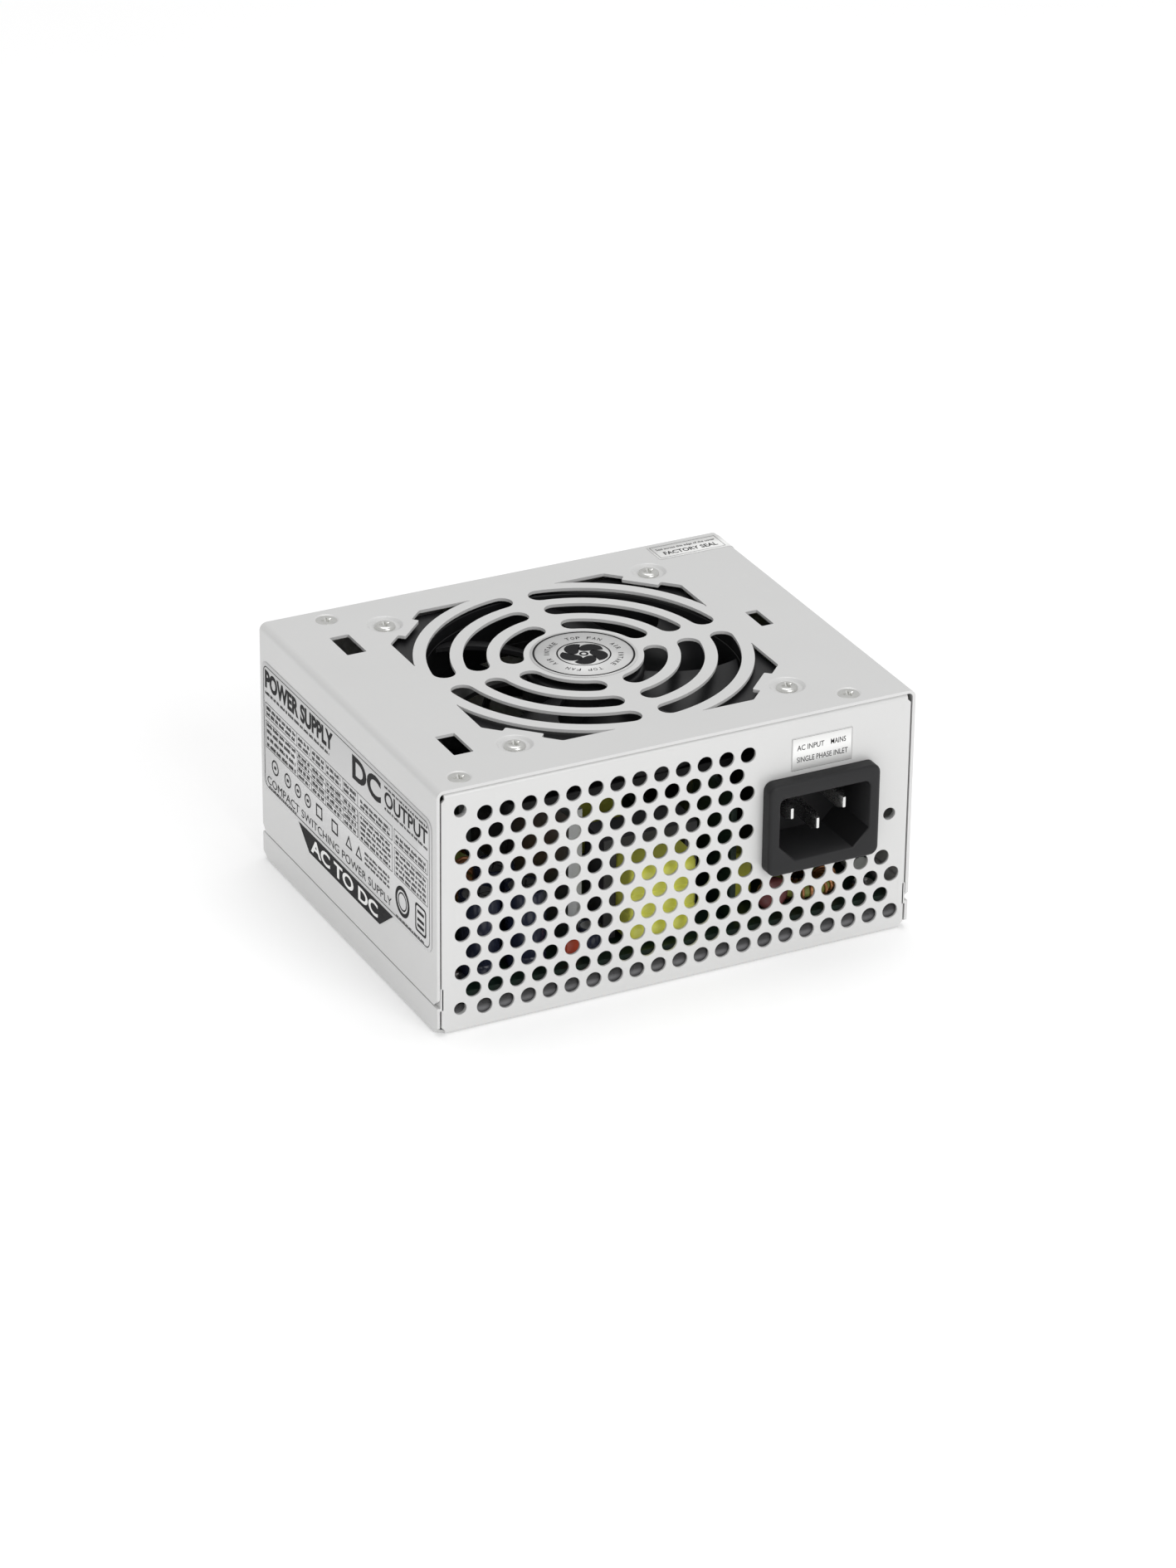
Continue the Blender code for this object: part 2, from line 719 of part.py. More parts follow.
def mount_points():
    return [
        (LEFT + MOUNT_INSET, HEIGHT - MOUNT_INSET),
        (LEFT + MOUNT_INSET, MOUNT_INSET),
        (RIGHT - MOUNT_INSET, MOUNT_RIGHT_HEIGHT),
    ]


def make_base_tray():
    corners = [
        (FRONT + FOLD_DEPTH, FOLD_TOP),
        (FRONT, FOLD_TOP),
        (FRONT, 0),
        (BACK, 0),
        (BACK, FOLD_TOP),
        (BACK - FOLD_DEPTH, FOLD_TOP),
    ]
    line = rounded(corners, TRAY_BEND, closed=False)
    inside = WIDTH / 2 - SHEET - PANEL_GAP
    mesh, thickness = bent_sheet("base_tray", line, -inside, inside, "X")
    tray = add_part("base_tray", mesh, "painted_steel")
    thicken(tray, thickness, 1)

    lap = SHEET + SEAT
    for side, name in ((-1, "left_wall"), (1, "right_wall")):
        wall = [
            (side * (WIDTH / 2 - lap), SIDE_WALL + LAP_HEIGHT),
            (side * (WIDTH / 2 - lap), SIDE_WALL),
            (side * WIDTH / 2, SIDE_WALL),
            (side * WIDTH / 2, 0),
            (side * (inside - TRAY_BEND), 0),
        ]
        bent = rounded(wall, [0, 0, 0, TRAY_BEND, 0], closed=False)
        side_mesh, thickness = bent_sheet(name, bent, FRONT, BACK, "Y")
        helper = add_helper(name, side_mesh)
        thicken(helper, thickness, side)
        join(tray, helper)

    relief_width = 2 * (WIDTH / 2 - inside + RELIEF / 2)
    reliefs = blocks(
        "corner_reliefs",
        *[
            ((sx * WIDTH / 2, sy * DEPTH / 2, 0), (relief_width, 2 * RELIEF, 2 * RELIEF))
            for sx in (-1, 1)
            for sy in (-1, 1)
        ],
    )
    lap_height = LAP_HEIGHT + 2 * CUT
    lap_middle = SIDE_WALL + GAP + lap_height / 2
    lap_ends = blocks(
        "lap_ends",
        *[
            ((sx * WIDTH / 2, sy * DEPTH / 2, lap_middle), (4 * SHEET, 2 * CORNER_CLIP, lap_height))
            for sx in (-1, 1)
            for sy in (-1, 1)
        ],
    )
    shoulder = 2 * (SHEET + SEAT)
    shoulders = blocks(
        "fold_shoulders",
        *[((side * inside, 0, FOLD_TOP), (2 * SHEET, DEPTH + CUT, shoulder)) for side in (-1, 1)],
    )
    perforation = rods("perforation", panel_holes(), HOLE_RADIUS, CUT * 2, "Y", sides=8)
    mounts = [(x, FRONT, z) for x, z in mount_points()]
    inlet_window = (
        (INLET_X, FRONT, INLET_HEIGHT),
        (INLET_BODY[0] + 2 * GAP, 2 * CUT, INLET_BODY[1] + 2 * GAP),
    )
    folds = [(x, y, FOLD_TOP) for x, y in cover_screw_points()]
    cut(
        tray,
        add_helper("corner_reliefs", reliefs),
        add_helper("lap_ends", lap_ends),
        add_helper("fold_shoulders", shoulders),
        add_helper("perforation", perforation),
        add_helper("mount_holes", rods("mount_holes", mounts, MOUNT_RADIUS, 2 * CUT, "Y")),
        add_helper("inlet_window", blocks("inlet_window", inlet_window)),
        add_helper("fold_holes", rods("fold_holes", folds, SCREW_SHANK + GAP, 2 * CUT, sides=8)),
        add_helper(
            "outlet_hole",
            rods("outlet_hole", [(OUTLET_X, BACK, OUTLET_HEIGHT)], OUTLET_RADIUS, 2 * CUT, "Y", sides=24),
        ),
    )
    return tray


def make_cable_grommet():
    neck = OUTLET_RADIUS - GAP
    inner = SHEET + GAP
    points = [
        (GROMMET_BORE, GROMMET_LIP + SEAT),
        (GROMMET_FLANGE - GROMMET_LIP / 2, GROMMET_LIP + SEAT),
        (GROMMET_FLANGE, GROMMET_LIP / 2 + SEAT),
        (GROMMET_FLANGE, SEAT),
        (neck, SEAT),
        (neck, -inner),
        (GROMMET_FLANGE, -inner),
        (GROMMET_FLANGE, -inner - GROMMET_LIP),
        (GROMMET_BORE, -inner - GROMMET_LIP),
    ]
    grommet = add_part(
        "cable_grommet",
        profile("cable_grommet", points, closed=True),
        "rubber",
        (OUTLET_X, BACK, OUTLET_HEIGHT),
        (-math.pi / 2, 0, 0),
    )
    return turned(grommet, 24)


def make_insulator_sheet():
    foot = SHEET + SEAT
    front, back = FRONT + SHEET + GAP, BACK - SHEET - GAP
    lip = BOARD_BOTTOM - GAP
    line = rounded([(front, lip), (front, foot), (back, foot), (back, lip)], FILM_BEND, closed=False)
    half = WIDTH / 2 - 2 * (SHEET + SEAT) - GAP
    mesh, thickness = bent_sheet("insulator_sheet", line, -half, half, "X", FILM)
    sheet = add_part("insulator_sheet", mesh, "insulating_film")
    thicken(sheet, thickness, 1)
    holes = [(x, y, foot) for x, y in board_hole_points()]
    cut(sheet, add_helper("film_holes", rods("film_holes", holes, STANDOFF_RADIUS + GAP, CUT, sides=8)))
    return sheet


# Screws


def make_screw(name, points, place, head_top):
    """A turned screw with a cross recess. The profile's heights are above the place given."""
    screw = add_part(name, profile(name, points), "bright_steel", place)
    turned(screw, 10)
    reach = points[1][0] * 1.1
    bars = [
        ((place[0], place[1], place[2] + head_top), (reach, RECESS_WIDTH, 2 * RECESS_DEPTH)),
        ((place[0], place[1], place[2] + head_top), (RECESS_WIDTH, reach, 2 * RECESS_DEPTH)),
    ]
    for index, bar in enumerate(bars):
        cut(screw, add_helper(f"{name}_recess_{index}", blocks(name, bar)))
    return screw


def make_cover_screws():
    for index, (x, y) in enumerate(cover_screw_points(), 1):
        points = [
            (0, -SEAT),
            (COVER_SCREW_HEAD, -SEAT),
            (SCREW_SHANK, -SHEET - SEAT),
            (SCREW_SHANK, -COVER_SCREW_LENGTH),
            (0, -COVER_SCREW_LENGTH),
        ]
        make_screw(f"cover_screw_{index}", points, (x, y, HEIGHT), -SEAT)


def make_fan_screws():
    floor = -DIMPLE_DEPTH + SEAT
    for index, (x, y) in enumerate(fan_screw_points(), 1):
        points = [
            (0, floor + 0.9 * MM),
            (FAN_SCREW_HEAD * 0.8, floor + 0.9 * MM),
            (FAN_SCREW_HEAD, floor),
            (SCREW_SHANK, floor),
            (SCREW_SHANK, -FAN_SCREW_LENGTH),
            (0, -FAN_SCREW_LENGTH),
        ]
        make_screw(f"fan_screw_{index}", points, (x, y, HEIGHT), floor + 0.9 * MM)


def board_hole_points():
    x, y = (half - BOARD_HOLE_INSET for half in BOARD_HALF)
    return [(-x, -y), (x, -y), (x, y), (-x, y)]


def make_board_fasteners():
    for index, (x, y) in enumerate(board_hole_points(), 1):
        name = f"board_standoff_{index}"
        bore = SCREW_SHANK + GAP
        low, high = SHEET + SEAT, BOARD_BOTTOM - SEAT
        points = [(bore, high), (STANDOFF_RADIUS, high), (STANDOFF_RADIUS, low), (bore, low)]
        turned(add_part(name, profile(name, points, closed=True), "brass", (x, y, 0)), 8)
        top = BOARD_TOP + SEAT
        screw = [
            (0, top + 1.8 * MM),
            (BOARD_SCREW_HEAD * 0.8, top + 1.8 * MM),
            (BOARD_SCREW_HEAD, top),
            (SCREW_SHANK, top),
            (SCREW_SHANK, low + CUT / 2),
            (0, low + CUT / 2),
        ]
        make_screw(f"board_screw_{index}", screw, (x, y, 0), top + 1.8 * MM)


# Labels


def make_rating_label():
    top = HEIGHT - RATING_FROM_TOP
    bottom = top - RATING_HEIGHT
    back, front = RATING_SHIFT + RATING_WIDTH / 2, RATING_SHIFT - RATING_WIDTH / 2
    outline = rounded(
        [
            (front, top),
            (front, bottom),
            (TAB_TOP[0], bottom),
            (TAB_BOTTOM[0], bottom - TAB_DROP),
            (TAB_BOTTOM[1], bottom - TAB_DROP),
            (TAB_TOP[1], bottom),
            (back, bottom),
            (back, top),
        ],
        [2.5 * MM, 2.5 * MM, 0, 0.5 * MM, 0.5 * MM, 0, 2.5 * MM, 2.5 * MM],
    )
    place = (LEFT - STUCK - LABEL_THICKNESS / 2, 0, 0)
    return plate_part("rating_label", [outline], LABEL_THICKNESS, "label_paper", place, SIDEWAYS)


def make_inlet_label():
    centre = (INLET_X + INLET_LABEL_SHIFT, INLET_HEIGHT + INLET_LABEL_ABOVE)
    outline = rounded(rectangle(*INLET_LABEL, centre), LABEL_CORNER)
    place = (0, FRONT - STUCK - LABEL_THICKNESS / 2, 0)
    return plate_part("inlet_label", [outline], LABEL_THICKNESS, "label_paper", place, UPRIGHT)


def make_warranty_label():
    """A sticker over one cover screw, which folds round the edge of the cover."""
    top = HEIGHT + STUCK
    edge = RIGHT + STUCK
    bend = COVER_BEND + STUCK
    flat_end = edge - bend
    line = [(flat_end - WARRANTY_LABEL[0], top), (flat_end, top)]
    line += arc((flat_end, top - bend), bend, 90, 30, 3)[1:]
    back = BACK - WARRANTY_FROM_BACK
    front = back - WARRANTY_LABEL[1]
    mesh, thickness = bent_sheet("warranty_label", line, front, back, "Y", LABEL_THICKNESS)
    label = add_part("warranty_label", mesh, "label_paper")
    thicken(label, thickness, -1)
    return label


def make_fan_badge():
    outline = arc((FAN_X, FAN_Y), BADGE_RADIUS, 0, 360, 32)[:-1]
    place = (0, 0, HEIGHT + STUCK + LABEL_THICKNESS / 2)
    return plate_part("fan_badge", [outline], LABEL_THICKNESS, "label_paper", place)


# Fan


def make_fan_frame():
    centre = (FAN_X, FAN_Y)
    outlines = [
        rounded(rectangle(FAN_SIZE, FAN_SIZE, centre), FAN_CORNER, steps=2),
        arc(centre, FAN_BORE, 0, 360, BORE_STEPS)[:-1],
    ]
    outlines += [arc(point, SCREW_SHANK + 2 * GAP, 0, 360, 8)[:-1] for point in fan_screw_points()]
    middle = FAN_TOP - FAN_THICKNESS / 2
    frame = plate_part("fan_frame", outlines, FAN_THICKNESS, "fan_plastic", (0, 0, middle))

    diagonal = FAN_SIZE / 2 + FAN_SIZE / 4
    windows = [
        (
            (
                FAN_X + diagonal * math.cos(math.radians(angle)),
                FAN_Y + diagonal * math.sin(math.radians(angle)),
                middle,
            ),
            (FAN_SIZE / 2, FAN_SIZE / 2, FAN_THICKNESS - 2 * FAN_FLANGE),
            math.radians(angle),
        )
        for angle in (45, 135, 225, 315)
    ]
    cut(frame, add_helper("frame_windows", blocks("frame_windows", *windows)))
    return frame


def make_fan_motor_base():
    """The motor's disc and bearing, carried by four struts that reach the frame's bore."""
    base = FAN_BOTTOM + BASE_THICKNESS
    bearing_top = FAN_TOP - BEARING_DROP
    bearing_floor = FAN_BOTTOM + BASE_THICKNESS / 2
    bearing = [
        (SHAFT_RADIUS + SHAFT_FIT, bearing_top),
        (BEARING_RADIUS, bearing_top),
        (BEARING_RADIUS, base),
        (BASE_RADIUS, base),
        (BASE_RADIUS, FAN_BOTTOM),
        (0, FAN_BOTTOM),
        (0, bearing_floor),
        (SHAFT_RADIUS + SHAFT_FIT, bearing_floor),
    ]
    data = profile("fan_motor_base", bearing, closed=True)
    motor_base = add_part("fan_motor_base", data, "fan_plastic", (FAN_X, FAN_Y, 0))
    turned(motor_base, 24)
    bore_flat = FAN_BORE * math.cos(math.pi / BORE_STEPS)
    length = bore_flat - SEAT - BASE_RADIUS / 2
    middle_out = BASE_RADIUS / 2 + length / 2
    struts = [
        (
            (
                FAN_X + middle_out * math.cos(angle),
                FAN_Y + middle_out * math.sin(angle),
                FAN_BOTTOM + BASE_THICKNESS / 2,
            ),
            (length, STRUT_WIDTH, BASE_THICKNESS * STRUT_SHARE),
            angle,
        )
        for angle in (STRUT_ANGLE + quarter * math.pi / 2 for quarter in range(4))
    ]
    join(motor_base, add_helper("fan_struts", blocks("fan_struts", *struts)))
    return motor_base


def make_blades(name, hub, tip):
    """Equal twisted blades in one mesh, as open sheets round the fan's axis."""
    chord_steps, span_steps = 4, 3
    height = FAN_THICKNESS * BLADE_SHARE
    spread, taper, lean = BLADE_SWEEP
    bm = bmesh.new()
    for blade in range(BLADE_COUNT):
        grid = bmesh.ops.create_grid(bm, x_segments=span_steps, y_segments=chord_steps, size=0.5)
        for vert in grid["verts"]:
            out = vert.co.x + 0.5
            along = vert.co.y
            radius = hub + (tip - hub) * out
            sweep = along * (spread + taper * out) + lean * out * out
            angle = blade * math.tau / BLADE_COUNT + sweep
            camber = BLADE_CAMBER * height * (1 - 4 * along * along)
            rise = along * height + camber
            vert.co = (radius * math.cos(angle), radius * math.sin(angle), rise)
    return mesh_from(name, bm)


def make_fan_rotor():
    """The hub cup and its blades, turning about the axle's place."""
    inner = HUB_RADIUS - HUB_WALL
    boss = 3 * SHAFT_RADIUS
    socket_top = FAN_TOP - SHAFT_DROP + SEAT
    boss_low = FAN_TOP - BOSS_DROP
    points = [
        (0, ROTOR_TOP),
        (HUB_RADIUS - HUB_EDGE, ROTOR_TOP),
        (HUB_RADIUS, ROTOR_TOP - HUB_EDGE),
        (HUB_RADIUS, ROTOR_LOW),
        (inner, ROTOR_LOW),
        (inner, ROTOR_TOP - HUB_WALL),
        (boss, ROTOR_TOP - HUB_WALL),
        (boss, boss_low),
        (SHAFT_RADIUS + SHAFT_FIT, boss_low),
        (SHAFT_RADIUS + SHAFT_FIT, socket_top),
        (0, socket_top),
    ]
    rotor = add_part("fan_rotor", profile("fan_rotor", points), "fan_plastic", (FAN_X, FAN_Y, 0))
    turned(rotor, 24)
    data = make_blades("blades", HUB_RADIUS - HUB_WALL / 2, FAN_BORE - BLADE_GAP)
    blades = add_helper("blades", data, (FAN_X, FAN_Y, (ROTOR_TOP + ROTOR_LOW) / 2))
    thicken(blades, BLADE_THICKNESS, 0)
    join(rotor, blades)
    return rotor


def make_fan_motor():
    top = ROTOR_TOP - HUB_WALL - GAP
    outer = HUB_RADIUS - HUB_WALL - SEAT
    inner = outer - MAGNET_WALL
    ring = [(inner, top), (outer, top), (outer, ROTOR_LOW), (inner, ROTOR_LOW)]
    data = profile("magnet_ring", ring, closed=True)
    turned(add_part("magnet_ring", data, "magnet", (FAN_X, FAN_Y, 0)), 24)

    reach = inner - STATOR_CLEAR
    core = BEARING_RADIUS + STATOR_CORE
    shoe, shoe_depth = POLE_SHOE
    neck, root = POLE_NECK
    slot = reach - shoe_depth
    outline = []
    for pole in range(4):
        middle = pole * math.pi / 2
        spots = [
            (core, middle - root),
            (slot, middle - neck),
            (slot, middle - shoe),
            (reach, middle - shoe),
            (reach, middle),
            (reach, middle + shoe),
            (slot, middle + shoe),
            (slot, middle + neck),
            (core, middle + root),
        ]
        outline += [
            (FAN_X + radius * math.cos(angle), FAN_Y + radius * math.sin(angle)) for radius, angle in spots
        ]
    bore = arc((FAN_X, FAN_Y), BEARING_RADIUS + GAP, 0, 360, 12)[:-1]
    height = (top - ROTOR_LOW) * STATOR_SHARE
    place = (0, 0, ROTOR_LOW + SEAT + height / 2)
    plate_part("fan_stator", [outline, bore], height, "copper", place)

    shaft_top = FAN_TOP - SHAFT_DROP
    shaft_low = FAN_BOTTOM + BASE_THICKNESS / 2 + SEAT
    points = [(0, shaft_top), (SHAFT_RADIUS, shaft_top), (SHAFT_RADIUS, shaft_low), (0, shaft_low)]
    turned(add_part("fan_shaft", profile("fan_shaft", points), "bright_steel", (FAN_X, FAN_Y, 0)), 12)


def make_fan_lead():
    """The fan's lead, from the motor base down to its plug on the board."""
    radius = 0.9 * MM
    level = FAN_BOTTOM - radius - GAP
    plug = (5 * MM, 6 * MM, 7 * MM)
    plug_top = PART_FOOT + plug[2]
    end_x, end_y = -8 * MM, BACK - 13 * MM
    route = smooth_route(
        [
            (FAN_X - 2 * MM, FAN_Y + 8 * MM, level),
            (FAN_X - 3 * MM, FAN_Y + 20 * MM, level),
            (FAN_X - 5 * MM, end_y - 8 * MM, level - 1 * MM),
            (end_x, end_y - 1 * MM, level - 7 * MM),
            (end_x, end_y, level - 16 * MM),
            (end_x, end_y, plug_top + 3 * MM),
            (end_x, end_y, plug_top - 1 * MM),
        ],
        steps=3,
    )
    lead = as_mesh(add_part("fan_lead", tube_curve("fan_lead", route, radius), "black_lead"))
    block = blocks("fan_plug", ((end_x, end_y, PART_FOOT + plug[2] / 2), plug))
    join(lead, add_helper("fan_plug", block))
    return lead


# Mains inlet


def make_inlet_housing():
    bezel_y = FRONT - SEAT - BEZEL_PROUD / 2
    housing = add_part(
        "inlet_housing",
        blocks("inlet_housing", ((0, 0, 0), (BEZEL_WIDTH, BEZEL_PROUD, BEZEL_HEIGHT))),
        "black_plastic",
        (INLET_X, bezel_y, INLET_HEIGHT),
    )
    round_edges(housing, 0.8 * MM, 2)
    body_front = FRONT - SEAT - BEZEL_PROUD / 2
    body_back = FRONT + INLET_BODY_DEPTH
    body = blocks(
        "inlet_body",
        (
            (INLET_X, (body_front + body_back) / 2, INLET_HEIGHT),
            (INLET_BODY[0], body_back - body_front, INLET_BODY[1]),
        ),
        (
            (INLET_X, FRONT + SHEET + GAP + 2 * MM, INLET_HEIGHT),
            (INLET_BODY[0] + 2.4 * MM, 4 * MM, 6 * MM),
        ),
    )
    pieces = [add_helper("inlet_body", body)]
    join(housing, *pieces)

    width, height = SOCKET
    low, high = -height / 2, height / 2
    opening = rounded(
        [
            (-width / 2, high),
            (-width / 2, low + SOCKET_CHAMFER),
            (-width / 2 + SOCKET_CHAMFER, low),
            (width / 2 - SOCKET_CHAMFER, low),
            (width / 2, low + SOCKET_CHAMFER),
            (width / 2, high),
        ],
        [1.2 * MM, 0.5 * MM, 0.5 * MM, 0.5 * MM, 0.5 * MM, 1.2 * MM],
        steps=2,
    )
    mouth = FRONT - SEAT - BEZEL_PROUD
    socket_length = SOCKET_DEPTH + CUT
    socket = plate_helper(
        "socket",
        [opening],
        socket_length,
        (INLET_X, mouth - CUT + socket_length / 2, INLET_HEIGHT + SOCKET_RISE),
        UPRIGHT,
    )
    slots = [
        ((x, body_back, z), (PIN_SIZE[0] + 2 * SEAT, INLET_BODY_DEPTH, PIN_SIZE[1] + 2 * SEAT))
        for _, x, z in pin_places()
    ]
    cut(housing, socket, add_helper("pin_slots", blocks("pin_slots", *slots)))
    return housing


def pin_places():
    """Each pin's name and centre across the panel."""
    top = INLET_HEIGHT + PIN_RISE
    return [
        ("live", INLET_X - PIN_SPACING / 2, top),
        ("neutral", INLET_X + PIN_SPACING / 2, top),
        ("earth", INLET_X, top - EARTH_DROP),
    ]


def make_pins_and_leads():
    lead_finishes = {"live": "brown_lead", "neutral": "blue_lead", "earth": "green_lead"}
    front = FRONT - SEAT - BEZEL_PROUD + PIN_RECESS
    back = FRONT + INLET_BODY_DEPTH + PIN_TAG
    for name, x, z in pin_places():
        pin = add_part(
            f"{name}_pin",
            blocks(name, ((0, 0, 0), (PIN_SIZE[0], back - front, PIN_SIZE[1]))),
            "bright_steel",
            (x, (front + back) / 2, z),
        )
        round_edges(pin, 0.35 * MM)
        start = back + GAP
        drop = start + LEAD_REACH
        route = smooth_route(
            [
                (x, start, z),
                (x, start + LEAD_REACH / 2, z - 0.3 * MM),
                (x, drop - 0.4 * MM, z - 3 * MM),
                (x, drop, z - 8 * MM),
                (x, drop, (z + PART_FOOT) / 2 - 2 * MM),
                (x, drop, PART_FOOT),
            ],
            steps=3,
        )
        add_part(f"{name}_lead", tube_curve(f"{name}_lead", route, LEAD_RADIUS), lead_finishes[name])


# Circuit board and its components


def make_circuit_board():
    holes = [arc(point, SCREW_SHANK + GAP, 0, 360, 8)[:-1] for point in board_hole_points()]
    outline = rectangle(2 * BOARD_HALF[0], 2 * BOARD_HALF[1])
    place = (0, 0, BOARD_TOP - BOARD_THICKNESS / 2)
    return plate_part("circuit_board", [outline, *holes], BOARD_THICKNESS, "board_laminate", place)


def make_can(name, place, radius, height, finish_name="capacitor_sleeve", steps=12):
    """A can capacitor: sleeved body with a rolled shoulder."""
    lip = radius * 0.14
    points = [
        (0, height - lip / 2),
        (radius - 2 * lip, height - lip / 2),
        (radius - lip, height),
        (radius, height - lip),
        (radius, 0),
        (0, 0),
    ]
    can = add_part(name, profile(name, points), finish_name, (*place, PART_FOOT))
    return turned(can, steps)


def make_block(name, centre, size, finish_name, edge=0.6 * MM, foot=PART_FOOT):
    """A moulded or taped block that stands on the board."""
    place = (centre[0], centre[1], foot + size[2] / 2)
    block = add_part(name, blocks(name, ((0, 0, 0), size)), finish_name, place)
    round_edges(block, edge)
    return block


def make_ring(name, centre, middle_radius, wire_radius, finish_name, flat=1.0):
    """A wound ring core that lies on the board."""
    points = [
        (middle_radius + wire_radius * math.cos(angle), flat * wire_radius * math.sin(angle))
        for angle in (math.radians(120 - 60 * step) for step in range(6))
    ]
    place = (*centre, PART_FOOT + flat * wire_radius)
    return turned(add_part(name, profile(name, points, closed=True), finish_name, place), 18)


def make_disc(name, centre, radius, thickness, finish_name):
    """A disc component that stands on edge and faces the mains panel."""
    points = [
        (0, thickness / 2),
        (radius * DISC_FACE_SHARE, thickness / 2),
        (radius, thickness / 4),
        (radius, -thickness / 4),
        (radius * DISC_FACE_SHARE, -thickness / 2),
        (0, -thickness / 2),
    ]
    place = (*centre, PART_FOOT + radius + DISC_LEGS)
    return turned(add_part(name, profile(name, points), finish_name, place, UPRIGHT), 14)


def make_heatsink(name, x, start, end, top, fin_side):
    """An upright aluminium plate with short fins along one side."""
    left, right = x - SINK_PLATE / 2, x + SINK_PLATE / 2
    outline = [(left, start), (right, start), (right, end), (left, end)]
    count = int((end - start) / SINK_FIN_PITCH)
    ribs = []
    for index in range(count):
        y = start + SINK_FIN_PITCH * (index + 0.5)
        edge = y + SINK_FIN_THICKNESS
        base = right if fin_side > 0 else left
        tip = base + fin_side * SINK_FIN
        ribs.append([(base, y), (tip, y), (tip, edge), (base, edge)])
    if fin_side > 0:
        outline[2:2] = sum(ribs, [])
    else:
        outline += sum([ends[::-1] for ends in ribs[::-1]], [])
    height = top - PART_FOOT
    return plate_part(name, [outline], height, "aluminium", (0, 0, PART_FOOT + height / 2))


def make_transistor(name, face, y, facing):
    """A power device on a heatsink: moulded body and its metal tab."""
    body, tab = DEVICE_BODY, DEVICE_TAB
    foot = PART_FOOT + DEVICE_FOOT
    place = (face + facing * (SEAT + tab[0] / 2), y, foot + tab[2] / 2)
    device = add_part(name, blocks(name, ((0, 0, 0), tab)), "component_body", place)
    shell = ((face + facing * (SEAT + body[0] / 2 + DEVICE_LIFT), y, foot + body[2] / 2), body)
    hole_place = (place[0], y, foot + tab[2] - DEVICE_HOLE_DROP)
    hole = Matrix.Translation(hole_place) @ Matrix.Rotation(math.pi / 2, 4, "Y")
    bm = bmesh.new()
    bmesh.ops.create_cone(
        bm,
        cap_ends=True,
        segments=8,
        radius1=DEVICE_HOLE_RADIUS,
        radius2=DEVICE_HOLE_RADIUS,
        depth=3 * tab[0],
        matrix=hole,
    )
    join(device, add_helper(f"{name}_shell", blocks(name, shell)))
    cut(device, add_helper(f"{name}_hole", mesh_from(name, bm)))
    return device


def make_main_transformer():
    """A ferrite core whose middle leg stands in the taped winding."""
    foot = PART_FOOT + WINDING_LIFT
    centre = (TRANSFORMER_X, FRONT + TRANSFORMER_FROM_FRONT + WINDING[1] / 2)
    coil = make_block("transformer_winding", centre, WINDING, "yellow_tape", WINDING_EDGE, foot)
    bore_size = (CORE_POST + 2 * GAP, CORE_THICKNESS + 2 * GAP, WINDING[2] + CUT)
    bore = ((*centre, foot + WINDING[2] / 2), bore_size)
    cut(coil, add_helper("winding_bore", blocks("winding_bore", bore)))

    post = CORE_POST
    window = WINDING[0] / 2 + GAP
    outer, under = window + CORE_LEG, foot + WINDING[2] + GAP
    outline = [
        (-outer, PART_FOOT),
        (-window, PART_FOOT),
        (-window, under),
        (-post / 2, under),
        (-post / 2, PART_FOOT),
        (post / 2, PART_FOOT),
        (post / 2, under),
        (window, under),
        (window, PART_FOOT),
        (outer, PART_FOOT),
        (outer, under + CORE_BAR),
        (-outer, under + CORE_BAR),
    ]
    plate_part("transformer_core", [outline], CORE_THICKNESS, "ferrite", (*centre, 0), UPRIGHT)


def from_inlet(place):
    """A place measured from the inlet's centre line and the mains panel."""
    return (INLET_X + place[0], FRONT + place[1])


def make_filter_section():
    """What stands between the mains inlet and the rectifier."""
    make_ring("filter_choke", from_inlet(FILTER_CHOKE_PLACE), *FILTER_CHOKE, "green_choke")
    make_disc("varistor", from_inlet(VARISTOR_PLACE), *VARISTOR, "maroon_epoxy")
    make_block("x_capacitor", from_inlet(X_CAPACITOR_PLACE), X_CAPACITOR, "yellow_tape")
    half, glass = FUSE_LENGTH / 2, FUSE_RADIUS * FUSE_GLASS_SHARE
    shoulder = half - FUSE_LENGTH * FUSE_CAP_SHARE
    points = [
        (0, half),
        (FUSE_RADIUS, half),
        (FUSE_RADIUS, shoulder),
        (glass, shoulder),
        (glass, -shoulder),
        (FUSE_RADIUS, -shoulder),
        (FUSE_RADIUS, -half),
        (0, -half),
    ]
    place = (RIGHT - FUSE_FROM_RIGHT, FRONT + FUSE_FROM_FRONT, PART_FOOT + FUSE_RADIUS)
    turned(add_part("fuse", profile("fuse", points), "glass_tube", place, UPRIGHT), 12)


